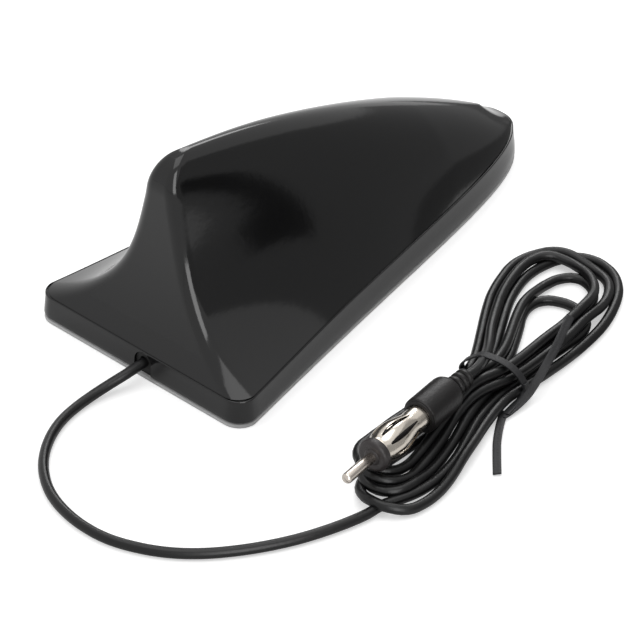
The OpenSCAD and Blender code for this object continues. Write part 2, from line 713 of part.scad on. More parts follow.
// Slotted sleeve as one closed grid: rows along the axis, four columns for each slot and its leaf,
// with the slot's own cells left out between the rows named first and last
module plug_sleeve() {
    rows = [0, 0.05, 0.11, 0.2, 0.3, 0.4, 0.5, 0.6, 0.68, 0.74, 0.86, 1];
    first = 2;
    last = 9;
    share = [0.35, 0.85, 1, 1, 0.85, 0.62, 0.42, 0.3];
    n = len(rows) - 1;
    m = 4 * slot_count;
    function at(j, c, inner) = 2 * (j * m + (c + m) % m) + (inner ? 1 : 0);
    points = [for (j = [0 : n]) for (k = [0 : slot_count - 1])
        let (r = sleeve_r(rows[j]),
            h = asin(slot_w / 2 * share[max(0, min(last - first, j - first))] / r),
            gap = 360 / slot_count - 2 * h,
            base = 360 * k / slot_count)
        for (a = [base - h, base + h, base + h + gap / 3, base + h + 2 * gap / 3]) for (g = [0, sleeve_t])
            [(r - g) * cos(a), (r - g) * sin(a), sleeve_x + sleeve_l * rows[j]]];
    skins = [for (j = [0 : n - 1]) for (c = [0 : m - 1]) if (c % 4 > 0 || j < first || j >= last)
        let (a = at(j, c, false), b = at(j, c + 1, false), d = at(j + 1, c, false), e = at(j + 1, c + 1, false))
        each [[a, d, e], [a, e, b], [a + 1, e + 1, d + 1], [a + 1, b + 1, e + 1]]];
    slot_sides = [for (j = [first : last - 1]) for (c = [0 : 4 : m - 1])
        let (a = at(j, c, false), d = at(j + 1, c, false), b = at(j, c + 1, false), e = at(j + 1, c + 1, false))
        each [[a, d, d + 1], [a, d + 1, a + 1], [b, e + 1, e], [b, b + 1, e + 1]]];
    slot_ends = [for (c = [0 : 4 : m - 1])
        let (a = at(first, c, false), b = at(first, c + 1, false), d = at(last, c, false),
            e = at(last, c + 1, false))
        each [[b, a, a + 1, b + 1], [e + 1, d + 1, d, e]]];
    ends = [for (c = [0 : m - 1])
        let (a = at(0, c, false), b = at(0, c + 1, false), d = at(n, c, false), e = at(n, c + 1, false))
        each [[b + 1, a + 1, a, b], [e, d, d + 1, e + 1]]];
    color("#c8c2b6") at_plug() polyhedron(points, concat(skins, slot_sides, slot_ends, ends), 10);
}

module plug_boot() {
    r = boot_d / 2;
    rr = relief_d / 2;
    pitch = relief_l / (relief_grooves + 0.5);
    grooves = [for (i = [0 : relief_grooves - 1])
        let (x = relief_x + pitch * (i + 0.35))
        each [[rr, x], [rr - 0.7, x + 0.1], [rr - 0.7, x + pitch * 0.42], [rr, x + pitch * 0.5]]];
    recess = rear_d / 2 + plug_fit;
    color("#1b1a1b") at_plug() rotate_extrude($fn = 48)
        polygon(concat([[0, boot_x], [pin_d / 2, boot_x], [pin_d / 2, boot_x + 1 + plug_fit],
            [recess, boot_x + 1 + plug_fit], [recess, boot_x], [r - 0.9, boot_x], [r - 0.2, boot_x + 0.35],
            [r, boot_x + 1], [r, relief_x - 1.6], [r - 0.5, relief_x - 0.5], [rr + 0.9, relief_x],
            [rr, relief_x + 0.2]],
            grooves, [[rr, relief_x + relief_l], [0, relief_x + relief_l]]));
}

cover();
base_plate();
adhesive_pad();
cover_screws();
circuit_board();
board_screws();
top_load_plate();
coil_former();
loading_coil();
matching_coil();
chip_parts();
cable_clamp();
clamp_screws();
cable_grommet();
cable_core();
cable_braid();
cable();
cable_hank();
cable_tie();
plug_boot();
plug_sleeve();
plug_insulator();
plug_pin();
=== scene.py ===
import logging
import math
from dataclasses import dataclass
from enum import Enum
from typing import Callable, Sequence

import bmesh
import bpy
import numpy as np
from mathutils import Matrix, Vector


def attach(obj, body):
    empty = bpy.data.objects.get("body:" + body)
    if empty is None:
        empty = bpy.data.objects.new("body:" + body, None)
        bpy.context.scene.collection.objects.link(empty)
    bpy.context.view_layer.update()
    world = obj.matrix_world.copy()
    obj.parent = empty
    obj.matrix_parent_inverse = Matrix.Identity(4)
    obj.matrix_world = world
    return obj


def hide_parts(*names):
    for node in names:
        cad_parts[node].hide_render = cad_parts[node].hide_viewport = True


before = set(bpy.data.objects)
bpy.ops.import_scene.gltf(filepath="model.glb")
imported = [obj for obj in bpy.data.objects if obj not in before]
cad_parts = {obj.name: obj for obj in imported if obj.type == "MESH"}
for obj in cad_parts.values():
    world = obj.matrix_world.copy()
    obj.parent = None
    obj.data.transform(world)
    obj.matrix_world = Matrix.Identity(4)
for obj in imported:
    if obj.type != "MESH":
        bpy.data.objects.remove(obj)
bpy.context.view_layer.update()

MM = 0.001
BODY = "root"
log = logging.getLogger("aerial")

MERGED = 2e-6
FLAT = 1e-7
BUMP_HEIGHT = 0.0004

Pair = tuple[float, float]
Point = tuple[float, float, float]
Color = tuple[float, float, float]
Piece = bpy.types.Object
Tree = bpy.types.NodeTree
Socket = bpy.types.NodeSocket


def link(obj: Piece) -> Piece:
    """Put an object into the scene and return it."""
    bpy.context.scene.collection.objects.link(obj)
    return obj


def shade(obj: Piece, sharp: float = 32.0) -> None:
    """Shade a mesh smooth, with its hard edges kept.

    Args:
        obj: The mesh object.
        sharp: Angle in degrees from which an edge stays hard.
    """
    mesh = obj.data
    mesh.polygons.foreach_set("use_smooth", [True] * len(mesh.polygons))
    mesh.set_sharp_from_angle(angle=math.radians(sharp))


def mesh_object(name: str, points: Sequence[Point], faces: Sequence[Sequence[int]],
                sharp: float = 32.0) -> Piece:
    """Make a mesh object from points in millimetres.

    Args:
        name: Name of the piece.
        points: Corners in millimetres, in the row frame.
        faces: Corner numbers of each face.
        sharp: Angle in degrees from which an edge stays hard.

    Returns:
        The linked object, with doubled points merged and its faces turned outwards.
    """
    mesh = bpy.data.meshes.new(name)
    mesh.from_pydata([(x * MM, y * MM, z * MM) for x, y, z in points], [], faces)
    work = bmesh.new()
    work.from_mesh(mesh)
    bmesh.ops.remove_doubles(work, verts=work.verts, dist=MERGED)
    bmesh.ops.dissolve_degenerate(work, edges=work.edges, dist=FLAT)
    bmesh.ops.recalc_face_normals(work, faces=work.faces)
    work.to_mesh(mesh)
    work.free()
    obj = link(bpy.data.objects.new(name, mesh))
    shade(obj, sharp)
    return obj


def skin(name: str, rings: Sequence[Sequence[Point]], caps: Sequence[int] = (), closed: bool = False,
         sharp: float = 32.0) -> Piece:
    """Make a mesh object through rings of points.

    Args:
        name: Name of the piece.
        rings: The rings in millimetres, with equally many points in each.
        caps: Numbers of the rings that a face closes.
        closed: Whether the last ring joins the first.
        sharp: Angle in degrees from which an edge stays hard.

    Returns:
        The linked object.
    """
    around = len(rings[0])
    faces: list[list[int]] = []
    for k in range(len(rings) if closed else len(rings) - 1):
        a, b = k * around, (k + 1) % len(rings) * around
        faces += [[a + i, a + (i + 1) % around, b + (i + 1) % around, b + i] for i in range(around)]
    faces += [[k * around + i for i in range(around)] for k in caps]
    return mesh_object(name, [point for ring in rings for point in ring], faces, sharp)


def smooth(t: float) -> float:
    """Smooth step from 0 to 1."""
    t = min(1.0, max(0.0, t))
    return t * t * (3 - 2 * t)


def run_along(line: np.ndarray) -> np.ndarray:
    """Distance along a line of points, at each of them."""
    return np.concatenate([[0], np.cumsum(np.linalg.norm(np.diff(line, axis=0), axis=1))])


def spaced(line: np.ndarray, marks: np.ndarray) -> np.ndarray:
    """Points at the marked distances along a line of points."""
    return np.stack([np.interp(marks, run_along(line), column) for column in line.T], axis=1)


def catmull(points: Sequence[Point], step: float) -> np.ndarray:
    """Points at an even spacing along a smooth curve through the given ones.

    Args:
        points: Points that the curve passes through.
        step: Spacing of the returned points.

    Returns:
        The points, one row each.
    """
    p = np.array(points, float)
    p = np.vstack([2 * p[0] - p[1], p, 2 * p[-1] - p[-2]])
    fine = []
    for i in range(1, len(p) - 2):
        chord = [max(1e-6, np.linalg.norm(p[i + k + 1] - p[i + k])) ** 0.5 for k in (-1, 0, 1)]
        t0, t1 = 0.0, chord[0]
        t2, t3 = t1 + chord[1], t1 + chord[1] + chord[2]
        for t in np.linspace(t1, t2, 24, endpoint=i == len(p) - 3):
            a1 = ((t1 - t) * p[i - 1] + (t - t0) * p[i]) / (t1 - t0)
            a2 = ((t2 - t) * p[i] + (t - t1) * p[i + 1]) / (t2 - t1)
            a3 = ((t3 - t) * p[i + 1] + (t - t2) * p[i + 2]) / (t3 - t2)
            b1 = ((t2 - t) * a1 + (t - t0) * a2) / (t2 - t0)
            b2 = ((t3 - t) * a2 + (t - t1) * a3) / (t3 - t1)
            fine.append(((t2 - t) * b1 + (t - t1) * b2) / (t2 - t1))
    line = np.array(fine)
    whole = run_along(line)[-1]
    return spaced(line, np.linspace(0, whole, max(2, round(whole / step)) + 1))


class Wiring:
    """Shader nodes of one material, world or group, made and joined by short calls."""

    def __init__(self, tree: Tree) -> None:
        """Keep the node tree to work on."""
        self.tree = tree

    def feed(self, socket: Socket, value: object) -> None:
        """Join an output to an input, or set the input's own value.

        Args:
            socket: The input.
            value: Another node's output, or a plain value.
        """
        if isinstance(value, Socket):
            self.tree.links.new(value, socket)
        else:
            socket.default_value = value

    def add(self, kind: str, *feeds: object, **values: object) -> bpy.types.Node:
        """Add a node, with its properties set and its inputs joined or set.

        Args:
            kind: The node's type name, without its ShaderNode prefix.
            feeds: Outputs or values for the node's first inputs, in their order.
            values: Properties, and outputs or values for inputs, with spaces in names as underscores.

        Returns:
            The node.
        """
        node = self.tree.nodes.new("ShaderNode" + kind)
        for key, value in values.items():
            socket = node.inputs.get(key.replace("_", " "))
            if socket is None:
                setattr(node, key, value)
            else:
                self.feed(socket, value)
        for socket, value in zip(node.inputs, feeds):
            self.feed(socket, value)
        return node

    def math(self, operation: str, *feeds: object, clamp: bool = False) -> Socket:
        """Add a Math node and return its result."""
        return self.add("Math", *feeds, operation=operation, use_clamp=clamp).outputs[0]

    def mix(self, share: object, first: object, second: object) -> Socket:
        """Mix two colours.

        Args:
            share: The second colour's share.
            first: Colour at a share of 0.
            second: Colour at a share of 1.

        Returns:
            The mixed colour's output.
        """
        node = self.add("Mix", share, data_type="RGBA")
        self.feed(node.inputs[6], first)
        self.feed(node.inputs[7], second)
        return node.outputs[2]


def cleared(owner: bpy.types.Material | bpy.types.World) -> Wiring:
    """Start the nodes of a material or world.

    Args:
        owner: The material or world.

    Returns:
        The wiring of its emptied node tree.
    """
    owner.use_nodes = True
    owner.node_tree.nodes.clear()
    return Wiring(owner.node_tree)


def shader_group(name: str, inputs: dict[str, object], outputs: dict[str, str]) -> tuple[
        Tree, Wiring, bpy.types.Node, bpy.types.Node]:
    """Start a shader node group.

    Args:
        name: Name of the group.
        inputs: Each input's name with its starting value: a number, or a colour of four numbers.
        outputs: Each output's name with its socket type.

    Returns:
        The group, its wiring, its input node and its output node.
    """
    tree = bpy.data.node_groups.new(name, "ShaderNodeTree")
    for key, value in inputs.items():
        kind = "NodeSocketColor" if isinstance(value, tuple) else "NodeSocketFloat"
        socket = tree.interface.new_socket(name=key, in_out="INPUT", socket_type=kind)
        socket.default_value = value
    for key, kind in outputs.items():
        tree.interface.new_socket(name=key, in_out="OUTPUT", socket_type=kind)
    wires = Wiring(tree)
    return tree, wires, tree.nodes.new("NodeGroupInput"), tree.nodes.new("NodeGroupOutput")


class Effects:
    """The shader node groups that the finishes share, each built once."""

    def __init__(self) -> None:
        """Build the groups."""
        self.grain = self._grain()
        self.dust = self._dust()
        self.tone = self._tone()

    def _grain(self) -> Tree:
        """Build the fine unevenness of a moulded or rolled surface.

        Returns:
            The group.
        """
        tree, w, start, end = shader_group(
            "surface_grain", {"Scale": 900.0, "Stretch": 1.0}, {"Height": "NodeSocketFloat"})
        stretch = w.add("CombineXYZ", start.outputs["Stretch"], 1.0, 1.0)
        place = w.add("VectorMath", w.add("TexCoord").outputs["Object"], stretch.outputs[0],
                      operation="MULTIPLY")
        noise = w.add("TexNoise", Vector=place.outputs[0], Scale=start.outputs["Scale"], Detail=3.0,
                      Roughness=0.55)
        w.feed(end.inputs["Height"], noise.outputs["Fac"])
        return tree

    def _dust(self) -> Tree:
        """Build the pale dust and lint specks that lie in patches on what faces up.

        Returns:
            The group.
        """
        tree, w, start, end = shader_group(
            "dust_specks", {"Base": (0.02, 0.02, 0.02, 1.0), "Dust": (0.5, 0.5, 0.5, 1.0), "Amount": 0.1},
            {"Color": "NodeSocketColor"})
        place = w.add("TexCoord").outputs["Object"]
        specks = w.add("TexVoronoi", Vector=place, Scale=700.0, feature="F1")
        small = w.add("MapRange", specks.outputs["Distance"], From_Min=0.05, From_Max=0.0)
        where = w.add("TexNoise", Vector=place, Scale=60.0, Detail=2.0)
        patch = w.add("MapRange", where.outputs["Fac"], From_Min=0.5, From_Max=0.75)
        facing = w.add("SeparateXYZ", w.add("NewGeometry").outputs["Normal"])
        up = w.add("MapRange", facing.outputs["Z"], From_Min=-0.1, From_Max=0.8)
        share = start.outputs["Amount"]
        for mask in (small, patch, up):
            share = w.math("MULTIPLY", share, mask.outputs[0], clamp=True)
        w.feed(end.inputs["Color"], w.mix(share, start.outputs["Base"], start.outputs["Dust"]))
        return tree

    def _tone(self) -> Tree:
        """Build the slow change of tone over a surface, and of its roughness.

        Returns:
            The group.
        """
        tree, w, start, end = shader_group(
            "slow_tone", {"Base": (0.02, 0.02, 0.02, 1.0), "Other": (0.03, 0.03, 0.03, 1.0),
                          "Scale": 25.0, "Rough": 0.3, "Spread": 0.05},
            {"Color": "NodeSocketColor", "Roughness": "NodeSocketFloat"})
        noise = w.add("TexNoise", Vector=w.add("TexCoord").outputs["Object"],
                      Scale=start.outputs["Scale"], Detail=4.0, Roughness=0.6).outputs["Fac"]
        w.feed(end.inputs["Color"], w.mix(noise, start.outputs["Base"], start.outputs["Other"]))
        rough = w.math("MULTIPLY_ADD", w.math("SUBTRACT", noise, 0.5), start.outputs["Spread"],
                       start.outputs["Rough"], clamp=True)
        w.feed(end.inputs["Roughness"], rough)
        return tree


@dataclass(frozen=True)
class Finish:
    """A finish: two near tones, roughness with its spread, grain, dust and metal."""

    name: str
    color: Color
    other: Color
    rough: float
    spread: float
    grain: float = 900.0
    stretch: float = 1.0
    depth: float = 0.02
    dust: float = 0.0
    dust_color: Color = (0.35, 0.35, 0.34)
    metallic: float = 0.0
    specular: float = 0.5
    tone_scale: float = 25.0

    def build(self, effects: Effects) -> bpy.types.Material:
        """Build the material.

        Args:
            effects: The shared shader groups.

        Returns:
            The material.
        """
        material = bpy.data.materials.new(self.name)
        w = cleared(material)
        tone = w.add("Group", node_tree=effects.tone, Base=(*self.color, 1.0), Other=(*self.other, 1.0),
                     Scale=self.tone_scale, Rough=self.rough, Spread=self.spread)
        paint = tone.outputs["Color"]
        if self.dust > 0:
            paint = w.add("Group", node_tree=effects.dust, Base=paint, Dust=(*self.dust_color, 1.0),
                          Amount=self.dust).outputs["Color"]
        grain = w.add("Group", node_tree=effects.grain, Scale=self.grain, Stretch=self.stretch)
        bump = w.add("Bump", Strength=self.depth, Distance=BUMP_HEIGHT, Height=grain.outputs["Height"])
        shader = w.add("BsdfPrincipled", Base_Color=paint, Roughness=tone.outputs["Roughness"],
                       Metallic=self.metallic, Specular_IOR_Level=self.specular, Normal=bump.outputs[0])
        w.add("OutputMaterial", shader.outputs[0])
        return material


class Part(Enum):
    """The material slots."""

    COVER = "cover_black"
    PLATE = "plate_black"
    PAD = "pad_foam"
    SCREW = "screw_steel"
    BOARD = "board_green"
    SHEET = "sheet_steel"
    FORMER = "former_white"
    COIL = "coil_copper"
    FERRITE = "ferrite"
    CHIP = "chip_body"
    CLAMP = "clamp_black"
    BUSH = "bush_rubber"
    CORE = "cable_copper"
    BRAID = "braid_copper"
    CABLE = "cable_pvc"
    TIE = "tie_pvc"
    BOOT = "boot_pvc"
    SLEEVE = "sleeve_nickel"
    COLLAR = "collar_black"
    PIN = "pin_nickel"


FINISHES: dict[Part, Finish] = {
    Part.COVER: Finish("gloss_black_cover", (0.0045, 0.0045, 0.0047), (0.0065, 0.0065, 0.0068), 0.12, 0.05,
                       grain=420.0, depth=0.05, dust=0.25, specular=0.4),
    Part.PLATE: Finish("matt_black_plate", (0.018, 0.018, 0.019), (0.03, 0.03, 0.031), 0.55, 0.15,
                       grain=1500.0, depth=0.35),
    Part.PAD: Finish("foam_pad", (0.53, 0.53, 0.53), (0.43, 0.43, 0.43), 0.85, 0.1, grain=2600.0,
                     depth=0.8, specular=0.2, tone_scale=120.0),
    Part.SCREW: Finish("zinc_screw", (0.55, 0.56, 0.57), (0.42, 0.43, 0.44), 0.32, 0.15, grain=2500.0,
                       depth=0.2, metallic=1.0),
    Part.BOARD: Finish("green_board", (0.012, 0.12, 0.04), (0.016, 0.16, 0.055), 0.35, 0.1, grain=1400.0,
                       depth=0.25, tone_scale=90.0),
    Part.SHEET: Finish("tinned_sheet", (0.66, 0.66, 0.66), (0.55, 0.55, 0.56), 0.3, 0.12, grain=700.0,
                       stretch=0.08, depth=0.3, metallic=1.0),
    Part.FORMER: Finish("nylon_former", (0.74, 0.71, 0.63), (0.66, 0.62, 0.53), 0.5, 0.1, grain=1200.0,
                        depth=0.25),
    Part.COIL: Finish("enamelled_coil", (0.72, 0.3, 0.12), (0.6, 0.22, 0.08), 0.28, 0.1, grain=1500.0,
                      depth=0.15, metallic=1.0),
    Part.FERRITE: Finish("ferrite_ring", (0.05, 0.045, 0.044), (0.075, 0.07, 0.068), 0.7, 0.15,
                         grain=2200.0, depth=0.7),
    Part.CHIP: Finish("chip_body", (0.05, 0.045, 0.043), (0.1, 0.09, 0.085), 0.45, 0.1, grain=3000.0,
                      depth=0.3),
    Part.CLAMP: Finish("clamp_plastic", (0.02, 0.02, 0.021), (0.035, 0.035, 0.036), 0.5, 0.12,
                       grain=1500.0, depth=0.3),
    Part.BUSH: Finish("bush_rubber", (0.006, 0.006, 0.006), (0.011, 0.011, 0.011), 0.6, 0.15,
                      grain=1800.0, depth=0.4, specular=0.3),
    Part.CORE: Finish("bare_copper", (0.75, 0.36, 0.2), (0.6, 0.26, 0.13), 0.35, 0.1, grain=1800.0,
                      depth=0.2, metallic=1.0),
    Part.BRAID: Finish("tinned_braid", (0.56, 0.5, 0.44), (0.42, 0.36, 0.3), 0.45, 0.15, grain=2600.0,
                       depth=0.9, metallic=1.0),
    Part.CABLE: Finish("cable_jacket", (0.0035, 0.0035, 0.0037), (0.0065, 0.0065, 0.0068), 0.33, 0.1,
                       grain=1300.0, depth=0.16, dust=0.3, specular=0.32, tone_scale=60.0),
    Part.TIE: Finish("tie_strap", (0.012, 0.012, 0.013), (0.019, 0.019, 0.021), 0.5, 0.12, grain=1500.0,
                     depth=0.3, specular=0.3, tone_scale=120.0),
    Part.BOOT: Finish("boot_vinyl", (0.006, 0.005, 0.005), (0.0095, 0.0085, 0.0085), 0.4, 0.1, grain=1200.0,
                      depth=0.25, dust=0.2, specular=0.3, tone_scale=70.0),
    Part.SLEEVE: Finish("nickel_sleeve", (0.66, 0.61, 0.54), (0.56, 0.51, 0.45), 0.2, 0.12, grain=900.0,
                        stretch=0.15, depth=0.12, metallic=1.0, tone_scale=110.0),
    Part.COLLAR: Finish("collar_plastic", (0.02, 0.0165, 0.0165), (0.03, 0.025, 0.025), 0.42, 0.12,
                        grain=1800.0, depth=0.3, specular=0.4, tone_scale=120.0),
    Part.PIN: Finish("nickel_pin", (0.6, 0.55, 0.5), (0.5, 0.45, 0.4), 0.27, 0.1, grain=1100.0,
                     stretch=0.1, depth=0.15, metallic=1.0, tone_scale=130.0),
}


class Palette:
    """All finishes as materials, and the dressing of pieces with them."""

    def __init__(self) -> None:
        """Build the shared effects and every material."""
        effects = Effects()
        self.materials = {part: finish.build(effects) for part, finish in FINISHES.items()}

    def dress(self, obj: Piece, part: Part, *replaced: str) -> Piece:
        """Give a new piece its finish and its body, and hide the CAD nodes that it stands for.

        Args:
            obj: The piece.
            part: Its material slot.
            replaced: Names of the CAD nodes that the piece stands for.

        Returns:
            The piece.
        """
        obj.data.materials.clear()
        obj.data.materials.append(self.materials[part])
        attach(obj, BODY)
        if replaced:
            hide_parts(*replaced)
        log.info("%s: %s", obj.name, part.value)
        return obj

    def dress_node(self, node: str, part: Part) -> None:
        """Give a CAD node that stays its finish.

        Args:
            node: The node's name.
            part: Its material slot.
        """
        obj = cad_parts[node]
        for number in range(len(obj.material_slots)):
            obj.material_slots[number].material = self.materials[part]
        log.info("%s: %s", node, part.value)


@dataclass
class Plug:
    """Aerial plug: pin, collar, slotted sleeve and ribbed boot, turned round one axis.

    Sizes are in millimetres. Each slot's share of its full width is given along the sleeve, whose rows
    of points run from 0 at its ring to 1 at its end.
    """

    tip: Point = (-84.9, -82.9, 11.6)
    yaw: float = math.radians(5.3)
    pin_r: float = 1.55
    pin_l: float = 11.8
    collar_r: float = 4.8
    collar_t: float = 2.8
    ring_d: float = 8.5
    bulge_d: float = 10.2
    rear_d: float = 7.2
    sleeve_l: float = 20.0
    sleeve_t: float = 0.5
    slots: int = 8
    slot_w: float = 1.4
    roll_in: float = 0.12
    soft_edge: float = 0.05
    leaf_steps: int = 7
    slot_share: Sequence[Pair] = (
        (0.105, 0.3), (0.13, 0.55), (0.2, 0.85), (0.3, 1.0), (0.4, 1.0), (0.5, 0.85), (0.6, 0.62),
        (0.68, 0.42), (0.73, 0.3), (0.745, 0.16))
    rows: Sequence[float] = (
        0, 0.012, 0.03, 0.06, 0.105, 0.13, 0.165, 0.2, 0.235, 0.27, 0.3, 0.34, 0.37, 0.4, 0.43, 0.46, 0.5,
        0.54, 0.57, 0.6, 0.63, 0.66, 0.68, 0.7, 0.73, 0.745, 0.77, 0.82, 0.88, 0.94, 0.988, 1.0)
    boot_r: float = 5.3
    boot_l: float = 14.6
    relief_r: float = 3.1
    end_x: float = 55.7
    grooves: int = 3

    @property
    def sleeve_x(self) -> float:
        """Distance from the tip to the sleeve's front."""
        return self.pin_l + self.collar_t

    @property
    def boot_x(self) -> float:
        """Distance from the tip to the boot's front."""
        return self.sleeve_x + self.sleeve_l - 1

    @property
    def relief_x(self) -> float:
        """Distance from the tip to the strain relief."""
        return self.boot_x + self.boot_l

    def at(self, radius: float, angle: float, along: float) -> Point:
        """Place a point round the plug's axis.

        Args:
            radius: Distance from the axis in millimetres.
            angle: Angle round the axis in radians.
            along: Distance from the tip in millimetres.

        Returns:
            The point.
        """
        side, up = radius * math.cos(angle), radius * math.sin(angle)
        c, s = math.cos(self.yaw), math.sin(self.yaw)
        return (self.tip[0] + along * c - side * s, self.tip[1] + along * s + side * c, self.tip[2] + up)

    def turned(self, name: str, profile: Sequence[Pair], steps: int = 64,
               sharp: float = 32.0) -> Piece:
        """Turn a closed profile round the axis.

        Args:
            name: Name of the piece.
            profile: Radius and distance from the tip of each point, in order.
            steps: Number of steps round the axis.
            sharp: Angle in degrees from which an edge stays hard.

        Returns:
            The piece.
        """
        rings = [[self.at(r, 2 * math.pi * i / steps, x) for r, x in profile] for i in range(steps)]
        return skin(name, rings, closed=True, sharp=sharp)

    def pin(self) -> Piece:
        """Nickel pin with a rounded tip and a small shoulder at the collar.

        Returns:
            The piece.
        """
        r = self.pin_r
        dome = [(r * math.sin(a), 1.15 * (1 - math.cos(a))) for a in np.linspace(0.02, math.pi / 2, 14)]
        back = self.boot_x - 0.1
        return self.turned("pin", [(0.001, 0.0)] + dome + [
            (r, 4.0), (r, self.pin_l - 0.9), (r - 0.06, self.pin_l - 0.8), (r - 0.06, self.pin_l),
            (r - 0.3, self.pin_l), (r - 0.3, back), (0.001, back)])

    def collar(self) -> Piece:
        """Black collar with a rounded edge, a low hub round the pin and a neck inside the sleeve.

        Returns:
            The piece.
        """
        r, x0, x1 = self.collar_r, self.pin_l, self.sleeve_x
        neck, bore = self.ring_d / 2 - self.sleeve_t - 0.06, self.pin_r - 0.24
        round_front = [(r - 1.0 + 1.0 * math.sin(a), x0 + 0.25 + 1.0 * (1 - math.cos(a)))
                       for a in np.linspace(0, math.pi / 2, 9)]
        round_back = [(r - 0.4 + 0.4 * math.cos(a), x1 - 0.4 + 0.4 * math.sin(a))
                      for a in np.linspace(0, math.pi / 2, 6)]
        hub = [(bore, x0 - 0.05), (self.pin_r + 0.5, x0 - 0.05), (self.pin_r + 0.75, x0 + 0.1),
               (self.pin_r + 0.85, x0 + 0.3), (self.pin_r + 1.2, x0 + 0.34), (r - 1.3, x0 + 0.24)]
        core, back = self.rear_d / 2 - self.sleeve_t - 0.1, self.boot_x - 0.15
        return self.turned("collar", hub + round_front + round_back + [
            (neck, x1), (neck, x1 + 1.6), (core, x1 + 2.4), (core, back), (bore, back)])

    def sleeve_r(self, s: float) -> float:
        """Outer radius of the sleeve.

        Args:
            s: Place along it, from 0 at its ring to 1 at its end.

        Returns:
            The radius in millimetres.
        """
        u = min(1.0, max(0.0, (s - 0.06) / 0.68))
        base = self.ring_d / 2 + (self.rear_d - self.ring_d) / 2 * smooth(u)
        middle = (self.ring_d + self.rear_d) / 4
        return base + (self.bulge_d / 2 - middle) * max(0.0, math.sin(math.pi * u ** 0.85)) ** 1.3

    def sleeve(self) -> Piece:
        """Nickel sleeve with tapered slots between its eight leaves, rolled in at the front edge.

        Returns:
            The piece.
        """
        places, shares = zip(*self.slot_share)
        first, last, end = self.rows.index(places[0]), self.rows.index(places[-1]), len(self.rows) - 1
        per = self.leaf_steps + 2
        around = per * self.slots
        points: list[Point] = []
        for j, s in enumerate(self.rows):
            r = self.sleeve_r(s) - (self.roll_in if j in (0, end) else 0.0)
            inner = r - self.sleeve_t + (0.1 if j == 0 else 0.0)
            h = math.asin(np.interp(s, places, shares) * self.slot_w / 2 / r)
            gap = 2 * math.pi / self.slots - 2 * h
            for k in range(self.slots):
                middle = 2 * math.pi * k / self.slots
                for a in [middle - h] + [middle + h + gap * i / (per - 1) for i in range(per - 1)]:
                    edge = max(0.0, abs(a - middle) - h) if first <= j <= last else self.soft_edge
                    lip = self.soft_edge - min(edge, self.soft_edge)
                    x = self.sleeve_x + self.sleeve_l * s
                    points += [self.at(r - lip, a, x), self.at(inner, a, x)]
        faces: list[list[int]] = []

        def spot(j: int, c: int) -> int:
            """Number of the outer point at row j and column c."""
            return 2 * (j * around + c % around)

        for c in range(around):
            open_here = c % per == 0
            for j in range(end):
                a, b, d, e = spot(j, c), spot(j, c + 1), spot(j + 1, c), spot(j + 1, c + 1)
                if open_here and first <= j < last:
                    faces += [[a, d, d + 1, a + 1], [b, b + 1, e + 1, e]]
                else:
                    faces += [[a, d, e, b], [a + 1, b + 1, e + 1, d + 1]]
            for j in (0, end, first, last) if open_here else (0, end):
                a, b = spot(j, c), spot(j, c + 1)
                faces.append([a, b, b + 1, a + 1])
        return mesh_object("sleeve", points, faces, 40.0)

    def boot(self) -> Piece:
        """Moulded boot with a lip at its front, a chamfered shoulder and arc grooves in its relief.

        Returns:
            The piece.
        """
        r, rr, x0, x1, x2 = self.boot_r, self.relief_r, self.boot_x, self.relief_x, self.end_x
        recess, bore = self.rear_d / 2 + 0.06, self.pin_r
        front = [(0.001, x0), (bore, x0), (bore, x0 + 1.06), (recess, x0 + 1.06), (recess, x0 + 0.05),
                 (recess + 0.12, x0 - 0.06), (r - 0.75, x0 - 0.06), (r - 0.6, x0 + 0.04), (r - 0.55, x0 + 0.22),
                 (r - 0.45, x0 + 0.26), (r - 0.2, x0 + 0.32), (r - 0.05, x0 + 0.6), (r, x0 + 1.1)]
        body = [(r, x0 + 5), (r, x1 - 5), (r - 0.02, x1 - 2.2), (r - 0.2, x1 - 1.3), (r - 0.7, x1 - 0.5),
                (r - 1.3, x1 - 0.1), (rr + 0.35, x1 + 0.15), (rr + 0.1, x1 + 0.3)]
        pitch = (x2 - x1) / (self.grooves + 0.5)
        ribs: list[Pair] = []
        for i in range(self.grooves):
            x = x1 + pitch * (i + 0.35)
            top = rr - 0.08 * i
            ribs += [(top, x - 0.15), (top - 0.08, x), (top - 0.75, x + 0.12), (top - 0.8, x + pitch * 0.3),
                     (top - 0.2, x + pitch * 0.46), (top - 0.05, x + pitch * 0.55)]
        end = [(rr - 0.3, x2 - 0.5), (rr - 0.5, x2 - 0.1), (rr - 0.7, x2), (0.001, x2)]
        return self.turned("boot", front + body + ribs + end, 72, 38.0)


